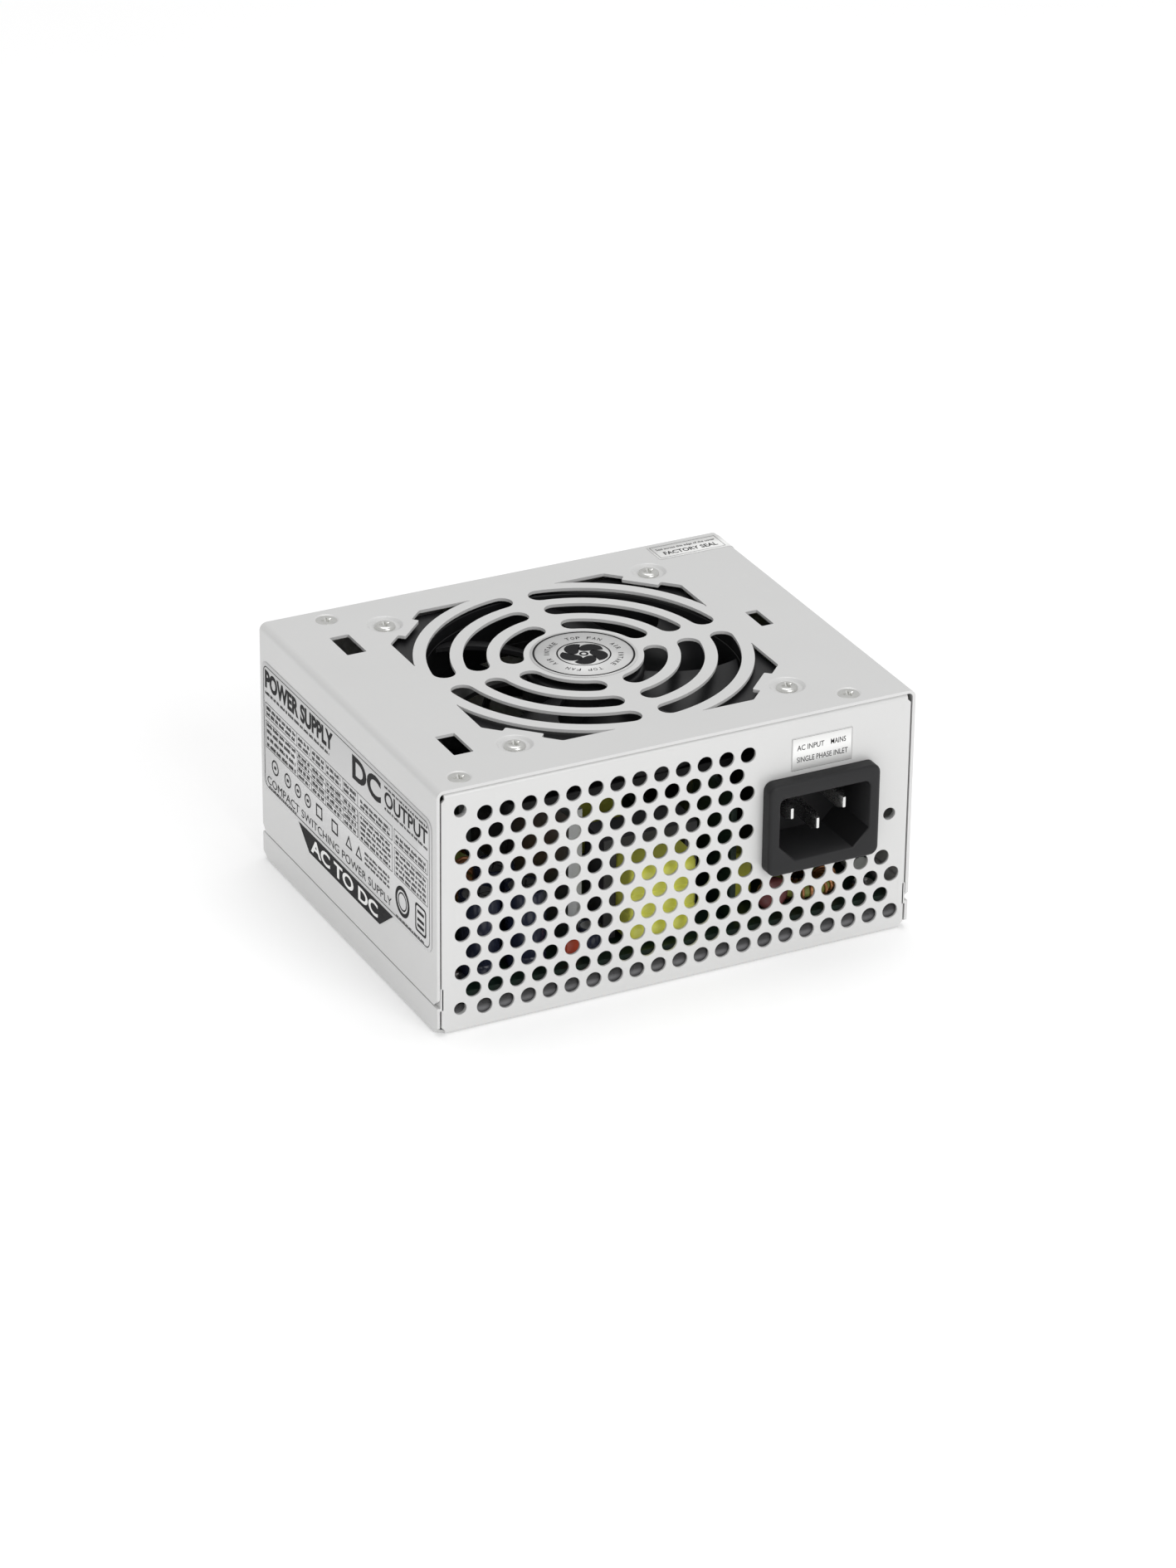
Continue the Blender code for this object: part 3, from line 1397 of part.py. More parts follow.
def make_primary_side():
    """The rectifier, the storage capacitor, the choke and the switch with its heatsink."""
    sink_x = INLET_X + PRIMARY_SINK_X
    make_can("bulk_capacitor", from_inlet(BULK_PLACE), *BULK, steps=BULK_STEPS)
    choke_place = (INLET_X + PFC_CHOKE_PLACE[0], PFC_CHOKE_PLACE[1])
    make_block("pfc_choke", choke_place, PFC_CHOKE, "yellow_tape", PFC_CHOKE_EDGE)
    bridge_place = (INLET_X + BRIDGE_PLACE[0], BRIDGE_PLACE[1])
    make_block("bridge_rectifier", bridge_place, BRIDGE, "component_body")
    make_heatsink("primary_heatsink", sink_x, *PRIMARY_SINK_SPAN, PRIMARY_SINK_TOP, 1)
    make_transistor("switching_transistor", sink_x - SINK_PLATE / 2, SWITCH_Y, -1)
    make_block("standby_transformer", STANDBY_PLACE, STANDBY, "yellow_tape", STANDBY_EDGE)
    control_place = (CONTROL_PLACE[0], FRONT + CONTROL_PLACE[1])
    make_block("control_board", control_place, CONTROL, "board_laminate", CONTROL_EDGE)


def make_secondary_side():
    """The output rectifier with its heatsink, the output choke and the output capacitors."""
    sink_x, sink_start = SECONDARY_SINK_X, FRONT + SECONDARY_SINK_FROM_FRONT
    make_heatsink("secondary_heatsink", sink_x, sink_start, SECONDARY_SINK_END, SECONDARY_SINK_TOP, 1)
    make_transistor("output_rectifier", sink_x - SINK_PLATE / 2, RECTIFIER_Y, -1)
    make_ring("output_choke", OUTPUT_CHOKE_PLACE, *OUTPUT_CHOKE, "green_choke", OUTPUT_CHOKE_FLAT)
    for index, (x, depth) in enumerate(OUTPUT_CANS, 1):
        make_can(f"output_capacitor_{index}", (x, FRONT + depth), *OUTPUT_CAN)
    make_can("small_capacitor", (SMALL_CAN_PLACE[0], FRONT + SMALL_CAN_PLACE[1]), *SMALL_CAN)
    film_place = (FILM_CAPACITOR_PLACE[0], FRONT + FILM_CAPACITOR_PLACE[1])
    make_block("film_capacitor", film_place, FILM_CAPACITOR, "red_epoxy")


def main():
    make_top_cover()
    make_base_tray()
    make_cable_grommet()
    make_insulator_sheet()
    make_cover_screws()
    make_fan_screws()
    make_board_fasteners()
    make_rating_label()
    make_inlet_label()
    make_warranty_label()
    make_fan_badge()
    make_fan_frame()
    make_fan_motor_base()
    make_fan_rotor()
    make_fan_motor()
    make_fan_lead()
    make_inlet_housing()
    make_pins_and_leads()
    make_circuit_board()
    make_main_transformer()
    make_filter_section()
    make_primary_side()
    make_secondary_side()


main()
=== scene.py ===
import json
import math
import random

import bmesh
import bpy
from mathutils import Matrix, Vector


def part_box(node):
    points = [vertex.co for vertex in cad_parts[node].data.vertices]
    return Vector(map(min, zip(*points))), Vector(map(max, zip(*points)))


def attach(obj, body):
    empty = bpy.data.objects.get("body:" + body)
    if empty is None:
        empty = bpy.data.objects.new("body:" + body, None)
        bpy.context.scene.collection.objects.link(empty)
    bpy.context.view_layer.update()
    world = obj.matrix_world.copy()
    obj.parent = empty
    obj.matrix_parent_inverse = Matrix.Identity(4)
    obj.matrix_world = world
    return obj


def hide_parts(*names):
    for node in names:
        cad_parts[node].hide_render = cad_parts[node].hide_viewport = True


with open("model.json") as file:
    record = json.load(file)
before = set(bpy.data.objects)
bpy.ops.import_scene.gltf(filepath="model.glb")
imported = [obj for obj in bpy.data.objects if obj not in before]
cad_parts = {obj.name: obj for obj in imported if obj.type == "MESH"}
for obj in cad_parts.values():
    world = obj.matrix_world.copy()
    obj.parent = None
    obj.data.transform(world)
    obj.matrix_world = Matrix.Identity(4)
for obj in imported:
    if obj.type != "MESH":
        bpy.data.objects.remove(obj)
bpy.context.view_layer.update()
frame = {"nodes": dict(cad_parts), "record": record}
print("frame loaded:", len(frame["nodes"]), "nodes")

mm = 0.001
scene = bpy.context.scene
slotOf = {row["node"]: row["material_slot"] for row in frame["record"]["subparts"]}
bodyOf = {node: body for body, nodes in frame["record"]["behaviour"]["bodies"].items() for node in nodes}


class Wire:
    def __init__(self, tree, socket):
        self.tree = tree
        self.socket = socket

    def maths(self, operation, other, swapped=False):
        node = self.tree.nodes.new("ShaderNodeMath")
        node.operation = operation
        pair = (other, self) if swapped else (self, other)
        for socket, value in zip(node.inputs, pair):
            plug(self.tree, socket, value)
        return Wire(self.tree, node.outputs[0])

    def __add__(self, other):
        return self.maths("ADD", other)

    def __radd__(self, other):
        return self.maths("ADD", other, True)

    def __sub__(self, other):
        return self.maths("SUBTRACT", other)

    def __rsub__(self, other):
        return self.maths("SUBTRACT", other, True)

    def __mul__(self, other):
        return self.maths("MULTIPLY", other)

    def __rmul__(self, other):
        return self.maths("MULTIPLY", other, True)

    def __truediv__(self, other):
        return self.maths("DIVIDE", other)

    def __pow__(self, other):
        return self.maths("POWER", other)

    def __gt__(self, other):
        return self.maths("GREATER_THAN", other)

    def __lt__(self, other):
        return self.maths("LESS_THAN", other)


def plug(tree, socket, value):
    if isinstance(value, Wire):
        tree.links.new(value.socket, socket)
    elif value is not None:
        socket.default_value = value


class Finish:
    def __init__(self, name, colour, roughness, metallic=0.0, **constants):
        self.material = bpy.data.materials.new(name)
        self.material.use_nodes = True
        self.tree = self.material.node_tree
        self.shader = self.tree.nodes["Principled BSDF"]
        self.feed("Base Color", (*colour, 1))
        self.feed("Roughness", roughness)
        self.feed("Metallic", metallic)
        for socket, value in constants.items():
            self.feed(socket.replace("_", " "), value)
        self.colour = colour
        self.material.diffuse_color = (*colour, 1)

    def node(self, kind, settings=None, inputs=None, output=0):
        node = self.tree.nodes.new("ShaderNode" + kind)
        for key, value in (settings or {}).items():
            if key == "stops":
                ramp = node.color_ramp
                while len(ramp.elements) < len(value):
                    ramp.elements.new(0.5)
                for element, (place, shade) in zip(ramp.elements, value):
                    element.position = place
                    element.color = (shade, shade, shade, 1) if isinstance(shade, float) else (*shade, 1)
            else:
                setattr(node, key, value)
        for key, value in (inputs or {}).items():
            plug(self.tree, node.inputs[key], value)
        return Wire(self.tree, node.outputs[output])

    def feed(self, socket, value):
        plug(self.tree, self.shader.inputs[socket], value)

    def coords(self, scale=(1, 1, 1), turn=(0, 0, 0), centre=(0, 0, 0)):
        place = self.node("TexCoord", output="Object")
        centred = self.node("VectorMath", {"operation": "SUBTRACT"}, {0: place, 1: centre})
        return self.node("Mapping", None, {"Vector": centred, "Rotation": turn, "Scale": scale})

    def noise(self, scale, detail=3.0, roughness=0.55, vector=None, output=0):
        vector = vector or self.node("TexCoord", output="Object")
        return self.node(
            "TexNoise",
            None,
            {"Vector": vector, "Scale": scale, "Detail": detail, "Roughness": roughness},
            output
        )

    def ramp(self, factor, *stops):
        return self.node("ValToRGB", {"stops": stops}, {"Fac": factor})

    def mix(self, factor, first, second):
        first = first if isinstance(first, Wire) else (*first, 1)
        second = second if isinstance(second, Wire) else (*second, 1)
        return self.node("Mix", {"data_type": "RGBA"}, {0: factor, 6: first, 7: second}, 2)

    def axis(self, vector, name):
        return self.node("SeparateXYZ", None, {0: vector}, name)

    def bump(self, height, strength, distance):
        normal = self.node("Bump", None, {"Height": height, "Strength": strength, "Distance": distance})
        self.feed("Normal", normal)
        return normal


def shade(colour, factor):
    return tuple(min(1.0, part * factor) for part in colour)


# A painted or moulded surface: fine grain, faint blotches and a few scuffs
def coatedFinish(name, colour, roughness, grain=900, depth=0.00002, metallic=0.0, spread=0.05, **constants):
    finish = Finish(name, colour, roughness, metallic, **constants)
    blotch = finish.noise(45, 4)
    scuff = finish.ramp(finish.noise(260, 6, 0.7), (0.60, 0.0), (0.74, 1.0))
    tone = finish.mix(blotch, shade(colour, 1 - spread), shade(colour, 1 + spread))
    finish.feed("Base Color", finish.mix(scuff * 0.12, tone, shade(colour, 1.25)))
    finish.feed("Roughness", roughness - 0.05 + 0.1 * finish.noise(120, 3) + 0.1 * scuff)
    finish.bump(finish.noise(grain, 2, 0.6), 0.35, depth)
    return finish.material


# Bare metal with drawn or turned marks and a slight tarnish
def metalFinish(name, colour, roughness, stretch=(1, 1, 1), grain=1500, centre=(0, 0, 0)):
    finish = Finish(name, colour, roughness, 1.0)
    marks = finish.noise(grain, 3, 0.6, finish.coords(stretch, centre=centre))
    tarnish = finish.noise(150, 4)
    finish.feed("Base Color", finish.mix(tarnish, shade(colour, 0.82), shade(colour, 1.08)))
    finish.feed("Roughness", roughness + 0.18 * marks + 0.08 * tarnish)
    finish.bump(marks, 0.25, 0.00001)
    return finish.material


# Glossy black film, with a painted highlight along the curve of its turned-up edge
def filmFinish():
    finish = Finish("insulating_film", (0.01, 0.01, 0.01), 0.25, Specular_IOR_Level=0.25)
    height = finish.axis(finish.node("TexCoord", output="Object"), "Z")
    # painted highlight: a pale band by height along the turned-up edge stands in for the film's reflection
    # there
    band = finish.ramp(height / (8 * mm), (0.28, 0.0), (0.52, 1.0), (0.64, 0.25), (0.8, 0.0))
    ripple = finish.noise(160, 2)
    finish.feed("Base Color", finish.mix(band * (0.5 + ripple), (0.006, 0.006, 0.006), (0.16, 0.16, 0.165)))
    finish.feed("Roughness", 0.2 + 0.15 * ripple)
    finish.bump(ripple, 0.3, 0.0002)
    return finish.material


def addPiece(name, bm, material, node=None, body="case", smoothAngle=35):
    mesh = bpy.data.meshes.new(name)
    bm.to_mesh(mesh)
    bm.free()
    mesh.materials.append(material)
    mesh.shade_smooth()
    mesh.set_sharp_from_angle(angle=math.radians(smoothAngle))
    piece = bpy.data.objects.new(name, mesh)
    scene.collection.objects.link(piece)
    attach(piece, bodyOf[node] if node else body)
    if node:
        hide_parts(node)
    return piece


def addThickness(piece, thickness, offset=-1):
    solidify = piece.modifiers.new("sheet", "SOLIDIFY")
    solidify.thickness = thickness
    solidify.offset = offset
    solidify.use_even_offset = True


def softenEdges(piece, width, segments=2, angle=50):
    bevel = piece.modifiers.new("edges", "BEVEL")
    bevel.width = width
    bevel.segments = segments
    bevel.limit_method = "ANGLE"
    bevel.angle_limit = math.radians(angle)
    weighted = piece.modifiers.new("shading", "WEIGHTED_NORMAL")
    weighted.keep_sharp = True


def arcPoints(centre, radius, start, end, steps):
    angles = [math.radians(start + (end - start) * step / steps) for step in range(steps + 1)]
    return [(centre[0] + radius * math.cos(a), centre[1] + radius * math.sin(a)) for a in angles]


def circlePoints(centre, radius, steps=32):
    return arcPoints(centre, radius, 0, 360, steps)[:-1]


def roundedBox(low, high, radius, steps=5):
    (x0, y0), (x1, y1) = low, high
    return (
        arcPoints((x1 - radius, y1 - radius), radius, 0, 90, steps)
        + arcPoints((x0 + radius, y1 - radius), radius, 90, 180, steps)
        + arcPoints((x0 + radius, y0 + radius), radius, 180, 270, steps)
        + arcPoints((x1 - radius, y0 + radius), radius, 270, 360, steps)
    )


# A matrix that lays flat (u, v) points on a face of the case; w points outwards
def onPlane(origin, across, up):
    across, up = Vector(across), Vector(up)
    outward = across.cross(up)
    matrix = Matrix((across, up, outward)).transposed().to_4x4()
    matrix.translation = Vector(origin)
    return matrix


# Fills an outline, with the loops inside it left as holes
def fillSheet(bm, loops, plane):
    edges = []
    for loop in loops:
        verts = [bm.verts.new(plane @ Vector((u, v, 0))) for u, v in loop]
        edges += [bm.edges.new(pair) for pair in zip(verts, verts[1:] + verts[:1])]
    bmesh.ops.triangle_fill(bm, use_beauty=True, edges=edges)


# Faces between a line of points and the same line moved by an offset
def drawStrip(bm, line, offset):
    verts = [bm.verts.new(point) for point in line]
    edges = [bm.edges.new(pair) for pair in zip(verts, verts[1:])]
    moved = bmesh.ops.extrude_edge_only(bm, edges=edges)["geom"]
    bmesh.ops.translate(bm, verts=[v for v in moved if isinstance(v, bmesh.types.BMVert)], vec=offset)


# Spins (radius, height) points about an axis through centre
def turnProfile(bm, points, centre, steps=32, axis=(0, 0, 1)):
    turn = Vector((0, 0, 1)).rotation_difference(Vector(axis)).to_matrix().to_4x4()
    place = Matrix.Translation(centre) @ turn
    verts = [bm.verts.new(place @ Vector((radius, 0, height))) for radius, height in points]
    edges = [bm.edges.new(pair) for pair in zip(verts, verts[1:])]
    bmesh.ops.spin(
        bm, geom=verts + edges, cent=centre, axis=axis, angle=math.tau, steps=steps, use_merge=True
    )


# Welds what meets, and turns the faces outwards
def closeUp(bm, outside=None):
    bmesh.ops.remove_doubles(bm, verts=bm.verts, dist=0.000002)
    bmesh.ops.recalc_face_normals(bm, faces=bm.faces)
    if outside:
        point, direction = Vector(outside[0]), Vector(outside[1])
        nearest = min(bm.faces, key=lambda face: (face.calc_center_median() - point).length)
        if nearest.normal.dot(direction) < 0:
            bmesh.ops.reverse_faces(bm, faces=bm.faces)


# A box between two corners, on a plane's own axes if one is given
def addBlock(bm, low, high, plane=None):
    low, high = Vector(low), Vector(high)
    place = Matrix.Translation((low + high) / 2) @ Matrix.Diagonal((*(high - low), 1))
    return bmesh.ops.create_cube(bm, size=1, matrix=(plane or Matrix()) @ place)["verts"]


view = {
    "azimuth": -26.94,
    "elevation": 26.88,
    "roll": 0.63,
    "distance": 1.3439,
    "aim": (0, 0, 0.03175),
    "slide": (0.00124, -0.00227),
    "lens": 128.0,
    "sensor": 36.0,
}


def addCamera():
    azimuth, elevation, roll = (math.radians(view[key]) for key in ("azimuth", "elevation", "roll"))
    back = Vector(
        (
            math.sin(azimuth) * math.cos(elevation), -math.cos(azimuth) * math.cos(elevation),
            math.sin(elevation)
        )
    )
    right = Vector((math.cos(azimuth), math.sin(azimuth), 0))
    up = back.cross(right)
    right, up = (
        right * math.cos(roll) + up * math.sin(roll),
        up * math.cos(roll) - right * math.sin(roll),
    )
    camera = bpy.data.objects.new("camera", bpy.data.cameras.new("camera"))
    camera.data.lens = view["lens"]
    camera.data.sensor_fit = "VERTICAL"
    camera.data.sensor_height = view["sensor"]
    camera.data.clip_start = 0.05
    camera.data.clip_end = 20
    place = Vector(view["aim"]) + right * view["slide"][0] + up * view["slide"][1] + back * view["distance"]
    matrix = Matrix((right, up, back)).transposed().to_4x4()
    matrix.translation = place
    camera.matrix_world = matrix
    scene.collection.objects.link(camera)
    scene.camera = camera


light = {
    "world": 0.65,
    "lamps": {
        "key": ((0.15, -1.3, 0.75), 0.9, 7),
        "top": ((0.1, 0.2, 1.6), 1.2, 6.5),
    },
}


def addLights():
    world = bpy.data.worlds.new("studio")
    world.use_nodes = True
    backdrop = world.node_tree.nodes["Background"]
    backdrop.inputs["Color"].default_value = (1, 1, 1, 1)
    backdrop.inputs["Strength"].default_value = light["world"]
    scene.world = world
    for name, (place, size, power) in light["lamps"].items():
        lamp = bpy.data.lights.new(name, "AREA")
        lamp.shape = "DISK"
        lamp.size = size
        lamp.energy = power
        obj = bpy.data.objects.new(name, lamp)
        obj.matrix_world = Matrix.Translation(place) @ (Vector(place) - Vector((0, 0, 0.03))).to_track_quat(
            "Z", "Y"
        ).to_matrix().to_4x4()
        scene.collection.objects.link(obj)
    scene.view_settings.view_transform = "Standard"


def addFloor():
    finish = Finish(
        "floor_paper", (0.93, 0.93, 0.93), 0.9, Emission_Color=(1, 1, 1, 1), Emission_Strength=0.16
    )
    finish.feed("Base Color", finish.mix(finish.noise(6, 2), (0.92, 0.92, 0.92), (0.95, 0.95, 0.95)))
    bm = bmesh.new()
    bmesh.ops.create_grid(bm, x_segments=4, y_segments=4, size=4)
    mesh = bpy.data.meshes.new("floor")
    bm.to_mesh(mesh)
    bm.free()
    mesh.materials.append(finish.material)
    floor = bpy.data.objects.new("floor", mesh)
    floor.location.z = -0.0002
    scene.collection.objects.link(floor)


addCamera()
addLights()
addFloor()
print("camera, lights and floor placed")


finishes = {
    "painted_steel": coatedFinish("painted_steel", (0.66, 0.66, 0.655), 0.36, 1400, 0.000012, 0.15, 0.02),
    "inlet_plastic": coatedFinish(
        "inlet_plastic", (0.013, 0.013, 0.014), 0.5, 2200, 0.00003, Specular_IOR_Level=0.3
    ),
    "fan_plastic": coatedFinish(
        "fan_plastic", (0.011, 0.011, 0.012), 0.4, 1500, 0.00001, Specular_IOR_Level=0.3
    ),
    "bright_steel": metalFinish("bright_steel", (0.8, 0.8, 0.79), 0.14, (1, 1, 8)),
    "screw_steel": metalFinish("screw_steel", (0.74, 0.74, 0.72), 0.2),
    "label_paper": coatedFinish("label_paper", (0.86, 0.86, 0.85), 0.45, 2500, 0.000008),
    "label_print": coatedFinish("label_print", (0.70, 0.70, 0.70), 0.4, 2500, 0.000008, 0.1),
    "badge_foil": coatedFinish("badge_foil", (0.66, 0.66, 0.655), 0.36, 1400, 0.00001, 0.15),
    "insulating_film": filmFinish(),
    # board laminate colour darkened well below a green board's own colour: painted shade for the board lying
    # in shadow inside the case
    "board_laminate": coatedFinish("board_laminate", (0.010, 0.028, 0.018), 0.5, 700, 0.00003, 0.0, 0.3),
    # aluminium colour kept darker than bare aluminium: partly painted shade for the heatsinks lying in shadow
    # inside the case
    "aluminium": metalFinish("aluminium", (0.60, 0.61, 0.62), 0.32, (1, 1, 0.05)),
    "ferrite": coatedFinish("ferrite", (0.05, 0.05, 0.055), 0.6, 1800, 0.00004),
    "yellow_tape": coatedFinish("yellow_tape", (0.72, 0.68, 0.08), 0.3, 260, 0.0001, 0.0, 0.12),
    "choke_winding": coatedFinish("choke_winding", (0.36, 0.42, 0.1), 0.35, 600, 0.0001, 0.0, 0.3),
    "capacitor_sleeve": coatedFinish("capacitor_sleeve", (0.02, 0.025, 0.05), 0.25, 500, 0.00002),
    "maroon_epoxy": coatedFinish("maroon_epoxy", (0.2, 0.06, 0.06), 0.35, 400, 0.0001),
    "red_epoxy": coatedFinish("red_epoxy", (0.5, 0.07, 0.03), 0.25, 400, 0.0001),
    "component_body": coatedFinish("component_body", (0.03, 0.03, 0.03), 0.5),
    "copper": metalFinish("copper", (0.7, 0.33, 0.16), 0.25, (1, 1, 12)),
    "magnet": coatedFinish("magnet", (0.09, 0.09, 0.1), 0.55),
    "brass": metalFinish("brass", (0.7, 0.55, 0.25), 0.25),
    "brown_lead": coatedFinish("brown_lead", (0.14, 0.06, 0.03), 0.4),
    "blue_lead": coatedFinish("blue_lead", (0.05, 0.11, 0.42), 0.4),
    "green_lead": coatedFinish("green_lead", (0.2, 0.42, 0.06), 0.4),
    "fan_lead_sleeve": coatedFinish("fan_lead_sleeve", (0.02, 0.02, 0.02), 0.4),
    "rubber": coatedFinish("rubber", (0.02, 0.02, 0.02), 0.75, 1500, 0.00004),
    "glass_tube": coatedFinish("glass_tube", (0.6, 0.62, 0.6), 0.15),
}
inkBlack = coatedFinish("ink_black", (0.008, 0.008, 0.009), 0.6, 2500, 0.000004, Specular_IOR_Level=0.15)
labelGrey = coatedFinish("label_edge_grey", (0.30, 0.30, 0.30), 0.5, 2500, 0.000004)

for nodeName, nodeObject in frame["nodes"].items():
    nodeObject.data.materials.clear()
    nodeObject.data.materials.append(finishes[slotOf[nodeName]])
print("finishes made:", len(finishes))


fanLow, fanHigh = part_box("fan_frame")
fanCentre = (fanLow + fanHigh) / 2
coverLow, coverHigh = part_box("top_cover")
sheet = 0.8 * mm

cover = {
    "bend": 1.9 * mm,
    "clip": 1.8 * mm,
    "hookSlot": (5.0 * mm, 10.6 * mm),
    "hookInset": 14.25 * mm,
    "hookSpread": 29.55 * mm,
    "hookShift": 0.25 * mm,
    "catchSlot": (3.3 * mm, 8.8 * mm),
    "catchInset": 14.7 * mm,
    "dimpleTop": 4.7 * mm,
    "dimpleFloor": 3.5 * mm,
    "dimpleDepth": 0.9 * mm,
    "screwHole": 1.8 * mm,
    "sinkTop": 3.15 * mm,
    "ringInner": 14.4 * mm,
    "slotWidth": 5.7 * mm,
    "rib": 3.1 * mm,
    "spoke": 4.6 * mm,
    "rings": 3,
    "cornerReach": 39.2 * mm,
    "cornerTip": 15 * mm,
    "cornerStart": 25 * mm,
    "notchDepth": 1.9 * mm,
    "notchWidth": 9.5 * mm,
    "edge": 0.12 * mm,
}


def screwCentres(kind):
    boxes = [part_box(f"{kind}_{index}") for index in range(1, 5)]
    return [((low.x + high.x) / 2, (low.y + high.y) / 2) for low, high in boxes]


def ringSlot(inner, quarter):
    outer, endRadius = inner + cover["slotWidth"], cover["slotWidth"] / 2
    middle = inner + endRadius
    lean = math.degrees(math.asin((cover["spoke"] / 2 + endRadius) / middle))
    first, last = 90 * quarter + lean, 90 * quarter + 90 - lean
    centre = fanCentre.xy
    firstEnd, lastEnd = (arcPoints(centre, middle, angle, angle, 1)[0] for angle in (first, last))
    return (
        arcPoints(centre, outer, first, last, 22)
        + arcPoints(lastEnd, endRadius, last, last + 180, 10)[1:-1]
        + arcPoints(centre, inner, last, first, 16)
        + arcPoints(firstEnd, endRadius, first + 180, first + 360, 10)[1:-1]
    )


# Rounds the corners of a closed outline
def filletCorners(points, radius, steps=4):
    result = []
    count = len(points)
    for index in range(count):
        here = Vector(points[index])
        before, after = Vector(points[index - 1]) - here, Vector(points[(index + 1) % count]) - here
        reach = min(radius, before.length * 0.45, after.length * 0.45)
        start, end = here + before.normalized() * reach, here + after.normalized() * reach
        for step in range(steps + 1):
            t = step / steps
            result.append(tuple(start * (1 - t) ** 2 + here * 2 * t * (1 - t) + end * t * t))
    return result


# The opening between the grille's outer ring and one corner of the fan
def cornerOpening(sx, sy):
    reach, start = cover["cornerReach"], cover["cornerStart"]
    ring = cover["ringInner"] + cover["rings"] * (cover["slotWidth"] + cover["rib"])
    tipAngle = math.degrees(math.asin(reach / ring))
    tip = min(cover["cornerTip"], ring * math.cos(math.radians(tipAngle)))
    slope, half = (reach + start) / math.sqrt(2), cover["notchWidth"] / 2
    notch = slope - cover["notchDepth"]
    corners = [(reach, tip), (reach, start)]
    corners += [
        ((along + across) / math.sqrt(2), (along - across) / math.sqrt(2))
        for along, across in ((slope, half), (notch, half), (notch, -half), (slope, -half))
    ]
    corners += [(start, reach), (tip, reach)]
    outline = filletCorners(corners, 0.4 * mm, 2)
    outline += arcPoints((0, 0), ring, tipAngle - 1.5, 91.5 - tipAngle, 20)
    return [(fanCentre.x + sx * x, fanCentre.y + sy * y) for x, y in outline]


def boxLoop(centre, size, radius=0.3 * mm):
    half = Vector(size) / 2
    return roundedBox(Vector(centre) - half, Vector(centre) + half, radius, 3)


def makeCover():
    low, high, bend = coverLow, coverHigh, cover["bend"]
    bm = bmesh.new()
    flat = [
        (low.x + bend, low.y),
        (high.x - bend, low.y),
        (high.x - bend, high.y),
        (low.x + bend, high.y),
    ]
    loops = [flat]
    for ring in range(cover["rings"]):
        inner = cover["ringInner"] + ring * (cover["slotWidth"] + cover["rib"])
        loops += [ringSlot(inner, quarter) for quarter in range(4)]
    loops += [cornerOpening(sx, sy) for sx in (-1, 1) for sy in (-1, 1)]
    for side in (-1, 1):
        y = cover["hookShift"] + side * cover["hookSpread"]
        loops.append(boxLoop((low.x + cover["hookInset"], y), cover["hookSlot"]))
    loops.append(boxLoop((high.x - cover["catchInset"], fanCentre.y), cover["catchSlot"]))
    fanScrews, coverScrews = screwCentres("fan_screw"), screwCentres("cover_screw")
    loops += [circlePoints(centre, cover["dimpleTop"], 40) for centre in fanScrews]
    loops += [circlePoints(centre, cover["sinkTop"], 32) for centre in coverScrews]
    fillSheet(bm, loops, Matrix.Translation((0, 0, high.z)))

    depth, top, floor = cover["dimpleDepth"], cover["dimpleTop"], cover["dimpleFloor"]
    dish = [(top, 0), (top - 0.2 * mm, -0.03 * mm), (top - 0.45 * mm, -0.15 * mm)]
    dish += [(floor + 0.35 * mm, -depth + 0.18 * mm), (floor, -depth + 0.03 * mm), (floor - 0.3 * mm, -depth)]
    dish += [(cover["screwHole"], -depth)]
    for x, y in fanScrews:
        turnProfile(bm, dish, (x, y, high.z), 40)
    sink = [
        (cover["sinkTop"], 0), (cover["sinkTop"] - 0.2 * mm, -0.04 * mm), (cover["screwHole"], -0.75 * mm)
    ]
    for x, y in coverScrews:
        turnProfile(bm, sink, (x, y, high.z), 32)

    for side, edge in ((1, high.x), (-1, low.x)):
        centre = (edge - side * bend, high.z - bend)
        curve = arcPoints(centre, bend, 90, 0, 8)
        drawStrip(
            bm, [(centre[0] + side * (x - centre[0]), low.y, z) for x, z in curve], (0, high.y - low.y, 0)
        )
        wall = [
            (low.y, high.z - bend),
            (low.y, low.z + cover["clip"]),
            (low.y + cover["clip"], low.z),
            (high.y - cover["clip"], low.z),
            (high.y, low.z + cover["clip"]),
            (high.y, high.z - bend),
        ]
        fillSheet(bm, [wall], onPlane((edge, 0, 0), (0, 1, 0), (0, 0, 1)))
    closeUp(bm, ((0, low.y, high.z), (0, 0, 1)))
    piece = addPiece("cover_shell", bm, finishes["painted_steel"], "top_cover")
    addThickness(piece, sheet)
    softenEdges(piece, cover["edge"])


makeCover()
print("cover built")


trayLow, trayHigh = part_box("base_tray")
inletLow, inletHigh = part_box("inlet_housing")
inletCentre = (inletLow + inletHigh) / 2

tray = {
    "bend": 1.0 * mm,
    "topBend": 1.4 * mm,
    "relief": 0.9 * mm,
    "panelGap": 0.4 * mm,
    "wall": 7.2 * mm,
    "lap": 0.9 * mm,
    "lapHeight": 5 * mm,
    "fold": 7.4 * mm,
    "hole": 2.0 * mm,
    "pitch": 5.68 * mm,
    "rowPitch": 5.03 * mm,
    "firstHole": (6.58 * mm, 5.33 * mm),
    "lastHole": (4.5 * mm, 7.6 * mm),
    "mountRadius": 1.6 * mm,
    "mountInset": 6.0 * mm,
    "mountRight": 31.75 * mm,
    "mountClear": 4.0 * mm,
    "threadTop": 0.6 * mm,
    "threadDepth": 1.6 * mm,
    "shoulder": 0.8 * mm,
    "window": (27.2 * mm, 20.4 * mm),
    "outlet": 10 * mm,
    "edge": 0.1 * mm,
}


def mountCentres():
    left, right = trayLow.x + tray["mountInset"], trayHigh.x - tray["mountInset"]
    return [(left, coverHigh.z - tray["mountInset"]), (left, tray["mountInset"]), (right, tray["mountRight"])]


